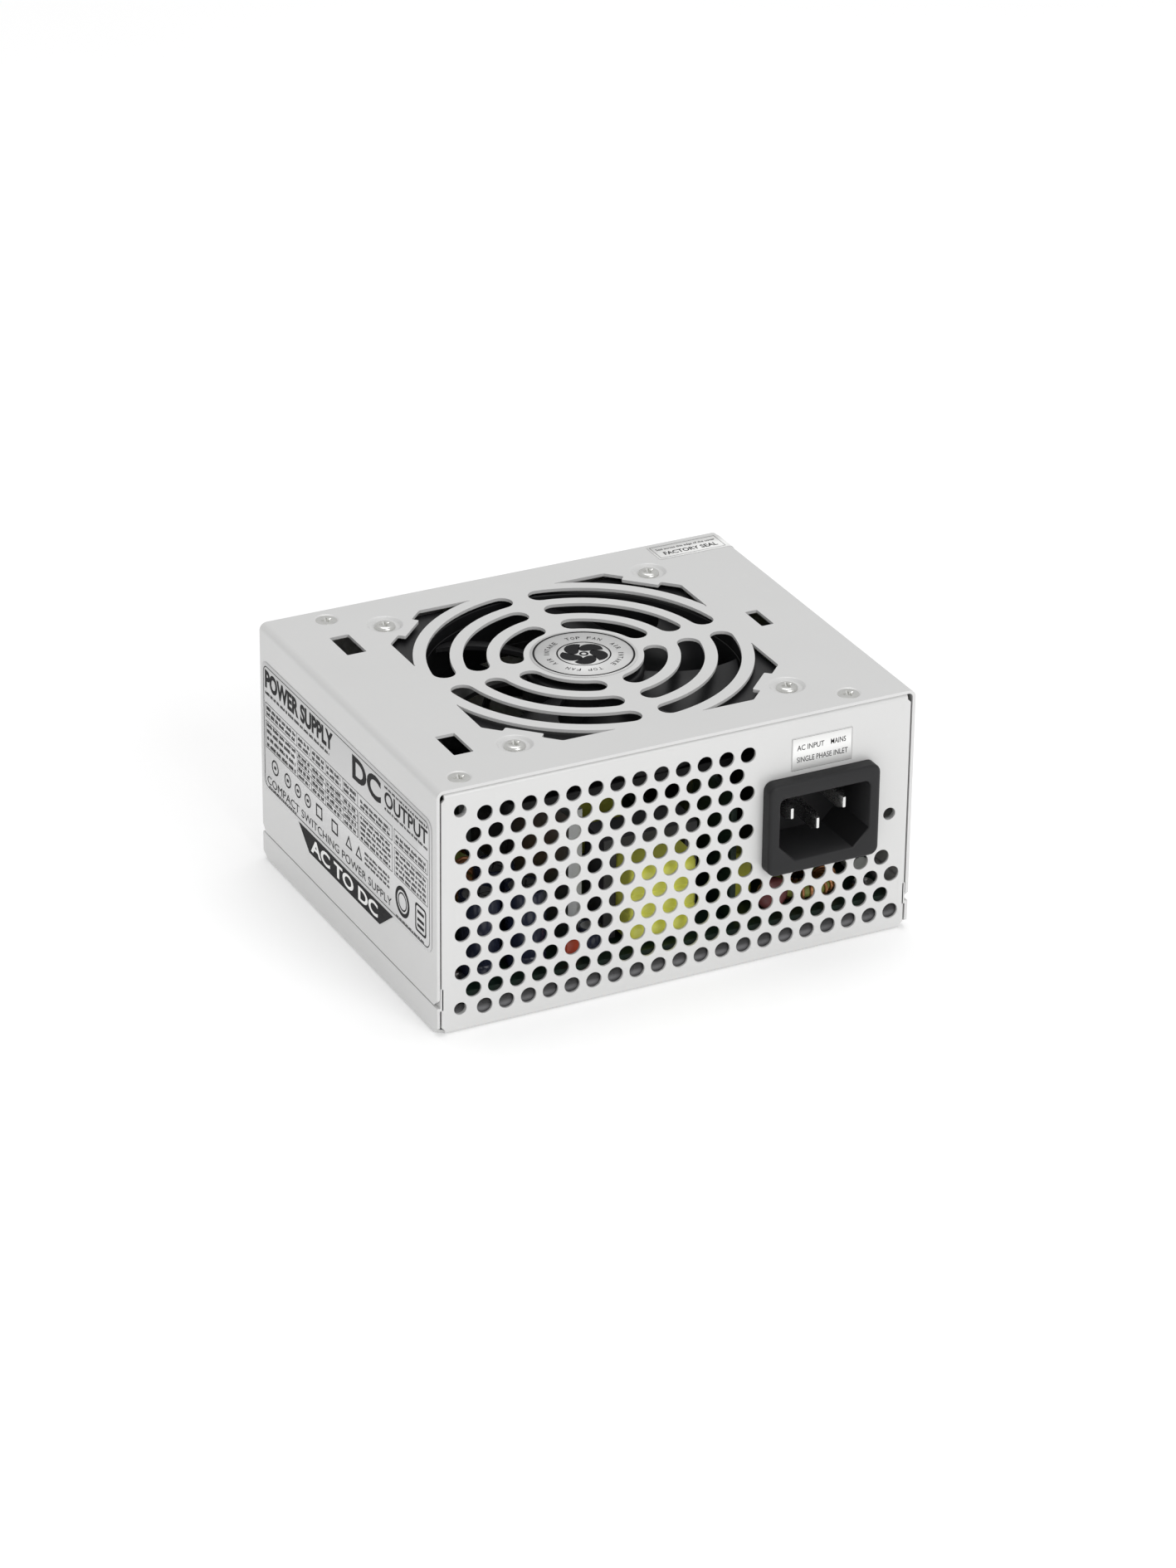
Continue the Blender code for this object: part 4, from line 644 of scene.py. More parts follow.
def panelHoles():
    inletLeft = inletLow.x - tray["hole"] - sheet
    found = []
    row, z = 0, tray["firstHole"][1]
    while z <= coverHigh.z - tray["lastHole"][1]:
        x = trayLow.x + tray["firstHole"][0] + (tray["pitch"] / 2 if row % 2 else 0)
        while x <= trayHigh.x - tray["lastHole"][0]:
            byInlet = x > inletLeft and z > inletLow.z
            byMount = any(math.hypot(x - a, z - b) < tray["mountClear"] for a, b in mountCentres())
            if not byInlet and not byMount:
                found.append((x, z))
            x += tray["pitch"]
        row += 1
        z += tray["rowPitch"]
    return found


def panelOutline(inside, top, low):
    corner, shoulder = tray["relief"], tray["shoulder"]
    return [
        (-inside + corner, low),
        (inside - corner, low),
        (inside, low + corner),
        (inside, top - shoulder),
        (inside - shoulder, top),
        (shoulder - inside, top),
        (-inside, top - shoulder),
        (-inside, low + corner),
    ]


def makeTray():
    front, back, top = trayLow.y, trayHigh.y, trayHigh.z
    bend, topBend, relief = tray["bend"], tray["topBend"], tray["relief"]
    inside = trayHigh.x - sheet - tray["panelGap"]
    outline = panelOutline(inside, top - topBend, bend)
    bm = bmesh.new()
    holes = [circlePoints(centre, tray["hole"], 28) for centre in panelHoles()]
    holes += [circlePoints(centre, tray["mountRadius"], 24) for centre in mountCentres()]
    holes.append(boxLoop((inletCentre.x, inletCentre.z), tray["window"]))
    fillSheet(bm, [outline, *holes], onPlane((0, front, 0), (1, 0, 0), (0, 0, 1)))
    rim = tray["mountRadius"]
    thread = [(rim, 0), (rim, -tray["threadTop"]), (rim, -tray["threadDepth"])]
    for x, z in mountCentres():
        turnProfile(bm, thread, (x, front, z), 24, (0, -1, 0))

    outletLow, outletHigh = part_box("cable_grommet")
    outlet = (outletLow + outletHigh) / 2
    rearHoles = [circlePoints((-outlet.x, outlet.z), tray["outlet"], 48)]
    fillSheet(bm, [outline, *rearHoles], onPlane((0, back, 0), (-1, 0, 0), (0, 0, 1)))

    wide, narrow = inside - tray["shoulder"], inside - relief
    for y, side in ((front, 1), (back, -1)):
        lower = arcPoints((bend, bend), bend, 180, 270, 6)
        drawStrip(bm, [(-narrow, y + side * inward, z) for inward, z in lower], (2 * narrow, 0, 0))
        upper = arcPoints((topBend, top - topBend), topBend, 180, 90, 6) + [(tray["fold"], top)]
        drawStrip(bm, [(-wide, y + side * inward, z) for inward, z in upper], (2 * wide, 0, 0))

    turnIn, foot = trayHigh.x - bend, front + bend
    floorShape = []
    for sx, sy in ((-1, -1), (1, -1), (1, 1), (-1, 1)):
        pair = [(sx * narrow, sy * -foot), (sx * turnIn, sy * (-foot - relief))]
        floorShape += pair if sx * sy < 0 else pair[::-1]
    fillSheet(bm, [floorShape], Matrix())

    for side in (-1, 1):
        edge, lap = side * trayHigh.x, side * (trayHigh.x - tray["lap"])
        ends = -foot - relief
        arc = arcPoints((turnIn, bend), bend, 270, 360, 6)
        drawStrip(bm, [(side * a, -ends, b) for a, b in arc], (0, 2 * ends, 0))
        wall = [
            (-ends, bend),
            (front, bend + relief),
            (front, tray["wall"]),
            (back, tray["wall"]),
            (back, bend + relief),
            (ends, bend),
        ]
        fillSheet(bm, [wall], onPlane((edge, 0, 0), (0, 1, 0), (0, 0, 1)))
        step = [(edge, front, tray["wall"]), (lap, front, tray["wall"])]
        drawStrip(bm, step, (0, back - front, 0))
        inner = tray["lapHeight"] + tray["wall"]
        drawStrip(bm, [(lap, front, tray["wall"]), (lap, front, inner)], (0, back - front, 0))
    closeUp(bm, ((0, 0, 0), (0, 0, -1)))
    piece = addPiece("tray_shell", bm, finishes["painted_steel"], "base_tray")
    addThickness(piece, sheet)
    softenEdges(piece, tray["edge"], 1)


makeTray()
print("tray built")


inlet = {
    "bezel": (29.7 * mm, 24.0 * mm),
    "corner": 1.3 * mm,
    "round": 0.9 * mm,
    "body": (26.6 * mm, 19.8 * mm),
    "bodyCorner": 1.0 * mm,
    "socket": (24.1 * mm, 16.8 * mm),
    "socketRise": -0.2 * mm,
    "socketDepth": 15.5 * mm,
    "socketCorner": 1.5 * mm,
    "socketChamfer": 4.3 * mm,
    "lip": 0.3 * mm,
    "pinTaper": 1.8 * mm,
}


# Joins closed loops of points, each to the next
def loftLoops(bm, loops):
    rings = []
    for loop in loops:
        verts = [bm.verts.new(point) for point in loop]
        rings.append([bm.edges.new(pair) for pair in zip(verts, verts[1:] + verts[:1])])
    for first, second in zip(rings, rings[1:]):
        bmesh.ops.bridge_loops(bm, edges=first + second)
    return rings


def socketLoop(inset):
    width, height = (side / 2 - inset for side in inlet["socket"])
    rise, corner, chamfer = inlet["socketRise"], inlet["socketCorner"], inlet["socketChamfer"]
    top, low = rise + height, rise - height
    return (
        arcPoints((width - corner, top - corner), corner, 0, 90, 5)
        + arcPoints((corner - width, top - corner), corner, 90, 180, 5)
        + [(-width, low + chamfer), (chamfer - width, low), (width - chamfer, low), (width, low + chamfer)]
    )


def makeInlet():
    plane = onPlane((inletCentre.x, trayLow.y, inletCentre.z), (1, 0, 0), (0, 0, 1))
    front, turn = inletLow.y * -1 + trayLow.y, inlet["round"]
    half = Vector(inlet["bezel"]) / 2

    def lift(loop, out):
        return [plane @ Vector((u, v, out)) for u, v in loop]

    def bezelLoop(inset):
        return roundedBox(
            -half + Vector((inset, inset)), half - Vector((inset, inset)), inlet["corner"] + turn - inset
        )

    bm = bmesh.new()
    steps = [math.radians(18 * step) for step in range(6)]
    outside = [lift(bezelLoop(0), 0.1 * mm)]
    outside += [lift(bezelLoop(turn - turn * math.cos(a)), front - turn + turn * math.sin(a)) for a in steps]
    rim = loftLoops(bm, outside)
    lip, deep = inlet["lip"], front - inlet["socketDepth"]
    cavity = [(0, front), (lip * 0.3, front - lip * 0.1), (lip, front - lip), (lip, deep)]
    hole = loftLoops(bm, [lift(socketLoop(inset - lip), out) for inset, out in cavity])
    bmesh.ops.triangle_fill(bm, use_beauty=True, edges=rim[-1] + hole[0])
    bmesh.ops.triangle_fill(bm, use_beauty=True, edges=hole[-1])
    body = Vector(inlet["body"]) / 2
    back = inletLow.y + 19.6 * mm - trayLow.y
    bodyLoop = roundedBox(-body, body, inlet["bodyCorner"])
    shank = loftLoops(bm, [lift(bodyLoop, 0.1 * mm), lift(bodyLoop, -back)])
    bmesh.ops.triangle_fill(bm, use_beauty=True, edges=rim[0] + shank[0])
    bmesh.ops.triangle_fill(bm, use_beauty=True, edges=shank[-1])
    closeUp(bm, ((inletLow.x + 2 * mm, inletLow.y, inletCentre.z), (0, -1, 0)))
    addPiece("inlet_shell", bm, finishes["inlet_plastic"], "inlet_housing", smoothAngle=40)

    for name in ("live_pin", "neutral_pin", "earth_pin"):
        makePin(name)


# A flat blade whose tip tapers on all four sides
def makePin(name):
    low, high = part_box(name)
    bm = bmesh.new()
    rings = []
    length = high.y - low.y
    for back, share, corner in (
        (0, 0.34, 0.15), (0.15 * mm, 0.42, 0.2), (inlet["pinTaper"], 1, 0.35), (length, 1, 0.35)
    ):
        y = low.y + back
        pull = (1 - share) * (high.x - low.x) / 2
        loop = roundedBox((low.x + pull, low.z + pull), (high.x - pull, high.z - pull), corner * mm, 3)
        rings.append([Vector((x, y, z)) for x, z in loop])
    ends = loftLoops(bm, rings)
    bmesh.ops.triangle_fill(bm, use_beauty=True, edges=ends[0])
    bmesh.ops.triangle_fill(bm, use_beauty=True, edges=ends[-1])
    closeUp(bm)
    addPiece(f"{name}_blade", bm, finishes["bright_steel"], name, smoothAngle=25)


makeInlet()
print("inlet built")


screw = {
    "arm": 0.56,
    "slot": 0.17,
    "depth": 0.9 * mm,
    "taper": 0.45,
    "shank": 1.5 * mm,
}


def crossLoop(reach, half):
    corners = []
    for quarter in range(4):
        turn = Matrix.Rotation(math.radians(90 * quarter), 2)
        corners += [turn @ Vector(point) for point in ((reach, -half), (reach, half), (half, half))]
    return filletCorners(corners, half * 0.5, 2)


# A cross-recessed screw; head holds (radius, height) points from the flat top outwards
def addScrew(bm, centre, head, underHead, tip):
    place = Matrix.Translation(centre)
    flat = head[0][0]
    radius = max(point[0] for point in head)
    reach, half = radius * screw["arm"], radius * screw["slot"]
    top = loftLoops(bm, [[place @ Vector((u, v, head[0][1])) for u, v in circlePoints((0, 0), flat, 32)]])
    recess = loftLoops(
        bm,
        [
            [place @ Vector((u, v, head[0][1])) for u, v in crossLoop(reach, half)],
            [
                place @ Vector((u, v, head[0][1] - screw["depth"]))
                for u, v in crossLoop(reach * screw["taper"], half * 0.6)
            ],
        ],
    )
    bmesh.ops.triangle_fill(bm, use_beauty=True, edges=top[0] + recess[0])
    bmesh.ops.triangle_fill(bm, use_beauty=True, edges=recess[1])
    shank = [
        (screw["shank"], underHead), (screw["shank"], tip + 0.4 * mm), (screw["shank"] - 0.4 * mm, tip),
        (0, tip)
    ]
    turnProfile(bm, head + shank, centre, 32)


def makeScrews():
    for kind in ("cover_screw", "fan_screw", "board_screw"):
        for index in range(1, 5):
            name = f"{kind}_{index}"
            low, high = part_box(name)
            centre = Vector(((low.x + high.x) / 2, (low.y + high.y) / 2, high.z))
            radius, tip = (high.x - low.x) / 2, low.z - high.z
            if kind == "cover_screw":
                head = [(radius - 0.5 * mm, 0), (radius - 0.15 * mm, -0.05 * mm), (radius, -0.18 * mm)]
                under = -0.95 * mm
            else:
                crown = 0.75 * mm
                head = [(radius * 0.62, 0)]
                head += [(radius * (0.62 + 0.38 * math.sin(a)), -crown + crown * math.cos(a))
                         for a in (math.radians(18 * step) for step in range(1, 6))]
                head.append((radius, -1.2 * mm))
                under = -1.2 * mm
            bm = bmesh.new()
            addScrew(bm, centre, head, under, tip)
            closeUp(bm, (centre, (0, 0, 1)))
            addPiece(f"{name}_body", bm, screwFinish(name, centre), name, smoothAngle=28)


# Zinc plate with the ring marks of its own turning
def screwFinish(name, centre):
    finish = Finish(f"screw_steel_{name}", (0.72, 0.72, 0.70), 0.2, 1.0)
    local = finish.coords(centre=centre)
    x, y = finish.axis(local, "X"), finish.axis(local, "Y")
    rings = finish.noise(1, 2, 0.5, finish.node("CombineXYZ", None, {0: (x * x + y * y) ** 0.5 * 9000}))
    blotch = finish.noise(420, 3)
    finish.feed("Base Color", finish.mix(blotch, (0.58, 0.58, 0.56), (0.80, 0.80, 0.78)))
    finish.feed("Roughness", 0.16 + 0.16 * rings + 0.10 * blotch)
    finish.bump(rings, 0.3, 0.00001)
    return finish.material


makeScrews()
print("screws built")


fan = {
    "wall": 1.7 * mm,
    "flange": 3.2 * mm,
    "corner": 4 * mm,
    "screwReach": 35.75 * mm,
    "screwHole": 2.1 * mm,
    "bladeGap": 1.2 * mm,
    "bladeThickness": 1.0 * mm,
    "blades": 7,
    "hub": 14.6 * mm,
    "hubWall": 1.4 * mm,
    "hubEdge": 1.0 * mm,
    "bladeRise": 9.3 * mm,
}


def makeFanFrame():
    half = (fanHigh.x - fanLow.x) / 2
    bore = half - fan["wall"]
    centre = fanCentre.xy
    outline = roundedBox(centre - Vector((half, half)), centre + Vector((half, half)), fan["corner"], 6)
    holes = [circlePoints(centre, bore, 96)]
    for sx in (-1, 1):
        for sy in (-1, 1):
            holes.append(circlePoints(centre + Vector((sx, sy)) * fan["screwReach"], fan["screwHole"], 20))
    bm = bmesh.new()
    for level in (fanHigh.z, fanLow.z + fan["flange"]):
        plate = bmesh.new()
        fillSheet(plate, [outline, *holes], Matrix.Translation((0, 0, level)))
        closeUp(plate, ((centre.x + half, centre.y, level), (0, 0, 1)))
        moved = bmesh.ops.extrude_face_region(plate, geom=plate.faces[:], use_keep_orig=True)["geom"]
        verts = [item for item in moved if isinstance(item, bmesh.types.BMVert)]
        bmesh.ops.translate(plate, verts=verts, vec=(0, 0, -fan["flange"]))
        bmesh.ops.recalc_face_normals(plate, faces=plate.faces)
        mesh = bpy.data.meshes.new("flange")
        plate.to_mesh(mesh)
        plate.free()
        bm.from_mesh(mesh)
        bpy.data.meshes.remove(mesh)
    low, high, skin = fanLow.z + fan["flange"], fanHigh.z - fan["flange"], half - 0.05 * mm
    duct = [(bore, low), (skin, low), (skin, high), (bore, high), (bore, low)]
    turnProfile(bm, duct, (*centre, 0), 96)
    bmesh.ops.recalc_face_normals(bm, faces=bm.faces)
    piece = addPiece("fan_housing", bm, finishes["fan_plastic"], "fan_frame")
    softenEdges(piece, 0.25 * mm)


def makeRotor():
    low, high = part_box("fan_rotor")
    bore = (fanHigh.x - fanLow.x) / 2 - fan["wall"]
    tip, hub = bore - fan["bladeGap"], fan["hub"]
    axis = Vector((fanCentre.x, fanCentre.y, (low.z + high.z) / 2))
    bm = bmesh.new()
    for blade in range(fan["blades"]):
        grid = bmesh.ops.create_grid(bm, x_segments=12, y_segments=14, size=0.5)
        for vert in grid["verts"]:
            out, along = vert.co.x + 0.5, vert.co.y
            radius = hub - fan["hubWall"] / 2 + (tip - hub + fan["hubWall"] / 2) * out
            angle = blade * math.tau / fan["blades"] + along * (0.74 - 0.1 * out) + 0.28 * out * out
            rise = along * fan["bladeRise"] + 0.18 * fan["bladeRise"] * (1 - 4 * along * along)
            vert.co = axis + Vector((radius * math.cos(angle), radius * math.sin(angle), rise))
    bmesh.ops.recalc_face_normals(bm, faces=bm.faces)
    bmesh.ops.solidify(bm, geom=bm.faces[:], thickness=fan["bladeThickness"])
    bmesh.ops.recalc_face_normals(bm, faces=bm.faces)
    wall, edge = fan["hubWall"], fan["hubEdge"]
    top, foot = high.z - axis.z, low.z - axis.z
    cup = [(0, top - 0.25 * mm), (9.5 * mm, top - 0.25 * mm), (9.8 * mm, top), (hub - edge, top)]
    cup += [(hub - edge + edge * math.sin(a), top - edge + edge * math.cos(a))
            for a in (math.radians(22.5 * step) for step in range(1, 4))]
    cup += [(hub, top - edge), (hub, foot), (hub - wall, foot), (hub - wall, top - wall), (0, top - wall)]
    turnProfile(bm, cup, axis, 64)
    bmesh.ops.remove_doubles(bm, verts=bm.verts, dist=0.000002)
    bmesh.ops.recalc_face_normals(bm, faces=bm.faces)
    addPiece("rotor_blades", bm, finishes["fan_plastic"], "fan_rotor", smoothAngle=40)


makeFanFrame()
makeRotor()
print("fan built")


labels = {
    "gap": 0.05 * mm,
    "paper": 0.10 * mm,
    "ink": 0.03 * mm,
    "line": 0.16 * mm,
}
rating = {
    "u": (-48.7 * mm, 47.4 * mm),
    "v": (20.1 * mm, 54.7 * mm),
    "corner": 2.6 * mm,
    "inset": 0.9 * mm,
    "tabTop": (-27.8 * mm, 26.3 * mm),
    "tabBottom": (-21.6 * mm, 18.8 * mm),
    "tabDrop": 5.6 * mm,
}
draw = random.Random(5)


def addQuad(bm, low, high, plane):
    (u0, v0), (u1, v1) = low, high
    place = Matrix.Translation(((u0 + u1) / 2, (v0 + v1) / 2, 0)) @ Matrix.Diagonal((u1 - u0, v1 - v0, 1, 1))
    bmesh.ops.create_grid(bm, x_segments=1, y_segments=1, size=0.5, matrix=plane @ place)


def addFrame(bm, low, high, plane, line=None):
    line = line or labels["line"]
    (u0, v0), (u1, v1) = low, high
    addQuad(bm, (u0, v0), (u1, v0 + line), plane)
    addQuad(bm, (u0, v1 - line), (u1, v1), plane)
    addQuad(bm, (u0, v0 + line), (u0 + line, v1 - line), plane)
    addQuad(bm, (u1 - line, v0 + line), (u1, v1 - line), plane)


# A flat band between two loops
def addBand(bm, outer, inner, plane):
    fillSheet(bm, [outer, inner], plane)


# A line of marks that stands for small print
def addGreek(bm, low, high, plane):
    (u0, v0), (u1, v1) = low, high
    size = v1 - v0
    u = u0
    while u < u1 - size * 0.4:
        for letter in range(draw.randint(3, 8)):
            width = size * draw.uniform(0.35, 0.6)
            if u + width > u1:
                break
            drop = size * draw.choice((0, 0, 0.25))
            addQuad(bm, (u, v0), (u + width * 0.72, v1 - drop), plane)
            u += width
        u += size * 0.55


# Generic lettering, fitted to a box
def addText(bm, body, low, high, plane, bold=0.0):
    curve = bpy.data.curves.new("lettering", "FONT")
    curve.body = body
    curve.offset = bold
    curve.resolution_u = 4
    holder = bpy.data.objects.new("lettering", curve)
    scene.collection.objects.link(holder)
    bpy.context.view_layer.update()
    mesh = bpy.data.meshes.new_from_object(holder.evaluated_get(bpy.context.evaluated_depsgraph_get()))
    corners = [vert.co for vert in mesh.vertices]
    left, right = min(c.x for c in corners), max(c.x for c in corners)
    foot, top = min(c.y for c in corners), max(c.y for c in corners)
    (u0, v0), (u1, v1) = low, high
    fit = Matrix.Translation((u0, v0, 0)) @ Matrix.Diagonal(
        ((u1 - u0) / (right - left), (v1 - v0) / (top - foot), 1, 1)
    ) @ Matrix.Translation((-left, -foot, 0))
    mesh.transform(plane @ fit)
    bm.from_mesh(mesh)
    bpy.data.objects.remove(holder)
    bpy.data.meshes.remove(mesh)
    bpy.data.curves.remove(curve)


# A label's paper, with real thickness
def addPaper(name, outline, plane, material, node):
    bm = bmesh.new()
    fillSheet(bm, [outline], plane)
    normal = plane.to_3x3() @ Vector((0, 0, 1))
    closeUp(bm, (plane @ Vector((*outline[0], 0)), normal))
    piece = addPiece(name, bm, material, node)
    addThickness(piece, labels["paper"], 1)
    return piece


def addInk(name, bm, material, normal):
    for face in bm.faces:
        face.normal_update()
    wrong = [face for face in bm.faces if face.normal.dot(Vector(normal)) < 0]
    bmesh.ops.reverse_faces(bm, faces=wrong)
    return addPiece(name, bm, material)


def makeRatingLabel():
    side = coverLow.x - labels["gap"]
    paperPlane = onPlane((side, 0, 0), (0, -1, 0), (0, 0, 1))
    inkPlane = onPlane((side - labels["paper"] - labels["ink"], 0, 0), (0, -1, 0), (0, 0, 1))
    (u0, u1), (v0, v1), corner = rating["u"], rating["v"], rating["corner"]
    foot = v0 - rating["tabDrop"]
    tab = [
        (rating["tabTop"][0], v0), (rating["tabBottom"][0], foot), (rating["tabBottom"][1], foot),
        (rating["tabTop"][1], v0)
    ]
    body = roundedBox((u0, v0), (u1, v1), corner, 6)
    lowRight = 3 * 7
    outline = body[:lowRight] + tab + body[lowRight:]
    addPaper("rating_paper", outline, paperPlane, finishes["label_print"], "rating_label")

    bm = bmesh.new()
    inset = rating["inset"]
    line = labels["line"]
    band = [
        roundedBox((u0 + d, v0 + d), (u1 - d, v1 - d), corner - d * 0.5, 6) for d in (
            inset, inset + line * 1.3
        )
    ]
    addBand(bm, band[0], band[1], inkPlane)
    fillSheet(bm, [tab], inkPlane)
    left, right = u0 + 1.9 * mm, u1 - 1.9 * mm
    addText(bm, "POWER SUPPLY", (left, 47.9 * mm), (-7 * mm, 52.8 * mm), inkPlane, 0.045)
    addGreek(bm, (left, 46.2 * mm), (-9 * mm, 47.0 * mm), inkPlane)
    addText(bm, "DC", (4 * mm, 46.4 * mm), (20 * mm, 52.8 * mm), inkPlane, 0.035)
    addText(bm, "OUTPUT", (22 * mm, 47.6 * mm), (right, 51.6 * mm), inkPlane, 0.02)
    addGreek(bm, (22 * mm, 52.1 * mm), (right, 52.7 * mm), inkPlane)
    addGreek(bm, (22 * mm, 46.4 * mm), (right, 47.1 * mm), inkPlane)

    columns = [left, -28.2 * mm, -19.9 * mm, -11.6 * mm, -1.6 * mm, 6.8 * mm]
    split = [(left, 6.8 * mm), (7.6 * mm, 26.1 * mm), (27.2 * mm, right)]
    for low, high in ((left, 26.2 * mm), (27.2 * mm, right)):
        addFrame(bm, (low, 40.1 * mm), (high, 43.9 * mm), inkPlane)
    for low, high in split:
        addFrame(bm, (low, 31.8 * mm), (high, 39.1 * mm), inkPlane)
    for u in columns[1:]:
        addQuad(bm, (u, 40.1 * mm), (u + line, 43.9 * mm), inkPlane)
        addQuad(bm, (u, 31.8 * mm), (u + line, 39.1 * mm), inkPlane)
    for v in (37.3 * mm, 35.5 * mm, 33.7 * mm):
        addQuad(bm, (columns[1], v), (columns[-1], v + line), inkPlane)
    for low, high in zip(columns, columns[1:]):
        pad = 0.7 * mm
        for v in (40.7 * mm, 42.2 * mm):
            addGreek(bm, (low + pad, v), (high - pad, v + 0.95 * mm), inkPlane)
        for v in (32.3 * mm, 34.15 * mm, 36.0 * mm, 37.75 * mm):
            addGreek(bm, (low + pad, v), (high - pad, v + 0.95 * mm), inkPlane)
    for low, high in split[1:]:
        pad = 0.8 * mm
        for v in (40.6 * mm, 41.9 * mm):
            addGreek(bm, (low + pad, v), (high - pad, v + 0.85 * mm), inkPlane)
        for row in range(5):
            v = (32.3 + 1.35 * row) * mm
            addGreek(bm, (low + pad, v), (high - pad, v + 0.8 * mm), inkPlane)

    for u, radius in ((-41.5, 2.0), (-34.0, 1.9), (-28.0, 1.8), (-22.2, 1.8)):
        spot = (u * mm, 28.2 * mm)
        addBand(
            bm, circlePoints(spot, radius * mm, 28), circlePoints(spot, (radius - 0.45) * mm, 28),
            inkPlane
        )
        addQuad(bm, ((u - 0.6) * mm, 27.8 * mm), ((u + 0.6) * mm, 28.6 * mm), inkPlane)
    for u, width in ((-15.5, 3.6), (-6.5, 3.6)):
        addFrame(bm, ((u - width / 2) * mm, 26.6 * mm), ((u + width / 2) * mm, 30.0 * mm), inkPlane, 0.5 * mm)
    for u in (1.6, 7.3):
        triangle = [((u + dx) * mm, (28.2 + dy) * mm) for dx, dy in ((-1.9, -1.6), (1.9, -1.6), (0, 1.8))]
        inner = [
            ((u + dx * 0.66) * mm, (28.0 + dy * 0.62) * mm) for dx,
            dy in ((-1.9, -1.6), (1.9, -1.6), (0, 1.8))
        ]
        addBand(bm, triangle, inner, inkPlane)
    for row in range(3):
        v = (26.6 + 1.3 * row) * mm
        addGreek(bm, (10.6 * mm, v), (24.6 * mm, v + 0.7 * mm), inkPlane)
    addText(
        bm, "COMPACT SWITCHING POWER SUPPLY", (left + 0.5 * mm, 22.2 * mm), (25.5 * mm, 24.4 * mm),
        inkPlane
    )
    addGreek(bm, (left + 1.5 * mm, 20.9 * mm + 0.4 * mm), (-29 * mm, 21.3 * mm + 0.5 * mm), inkPlane)
    addGreek(bm, (28 * mm, 20.9 * mm + 0.4 * mm), (right - 2 * mm, 21.3 * mm + 0.5 * mm), inkPlane)
    badge = (31.6 * mm, 26.6 * mm)
    addBand(bm, circlePoints(badge, 3.9 * mm, 40), circlePoints(badge, 2.9 * mm, 40), inkPlane)
    addBand(bm, circlePoints(badge, 2.4 * mm, 32), circlePoints(badge, 2.0 * mm, 32), inkPlane)
    square = [
        roundedBox((38.6 * mm + d, 22.9 * mm + d), (44.6 * mm - d, 30.3 * mm - d), 1.0 * mm - d * 0.4, 4)
        for d in (0, 0.55 * mm)
    ]
    addBand(bm, square[0], square[1], inkPlane)
    for v in (24.3 * mm, 25.9 * mm, 27.9 * mm):
        addQuad(bm, (39.8 * mm, v), (43.4 * mm, v + 0.8 * mm), inkPlane)
    addInk("rating_ink", bm, inkBlack, (-1, 0, 0))

    bm = bmesh.new()
    topPlane = onPlane((side - labels["paper"] - 1.5 * labels["ink"], 0, 0), (0, -1, 0), (0, 0, 1))
    addText(bm, "AC TO DC", (rating["tabBottom"][0] + 1 * mm, foot + 0.9 * mm),
            (rating["tabBottom"][1] - 1 * mm, v0 - 0.9 * mm), topPlane, 0.03)
    addInk("rating_tab_lettering", bm, finishes["label_paper"], (-1, 0, 0))


def makeInletLabel():
    low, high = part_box("inlet_label")
    surface = trayLow.y - labels["gap"]
    across, up = (1, 0, 0), (0, 0, 1)
    outline = roundedBox((low.x, low.z), (high.x, high.z), 0.4 * mm, 3)
    addPaper(
        "inlet_paper", outline, onPlane((0, surface, 0), across, up), finishes["label_paper"],
        "inlet_label"
    )
    plane = onPlane((0, surface - labels["paper"] - labels["ink"], 0), across, up)
    bm = bmesh.new()
    left, right = low.x + 1.4 * mm, high.x - 1.2 * mm
    middle = (low.z + high.z) / 2
    addText(bm, "AC INPUT", (left, middle + 0.9 * mm), (left + 7.2 * mm, middle + 2.3 * mm), plane, 0.004)
    addText(
        bm, "MAINS", (left + 9.0 * mm, middle + 0.9 * mm), (right - 0.6 * mm, middle + 2.3 * mm), plane,
        0.004
    )
    addText(bm, "SINGLE PHASE INLET", (left, middle - 2.2 * mm), (right, middle - 0.8 * mm), plane, 0.004)
    addInk("inlet_ink", bm, inkBlack, (0, -1, 0))
    bm = bmesh.new()
    addFrame(
        bm, (low.x + 0.05 * mm, low.z + 0.05 * mm), (high.x - 0.05 * mm, high.z - 0.05 * mm), plane,
        0.12 * mm
    )
    addInk("inlet_label_border", bm, labelGrey, (0, -1, 0))


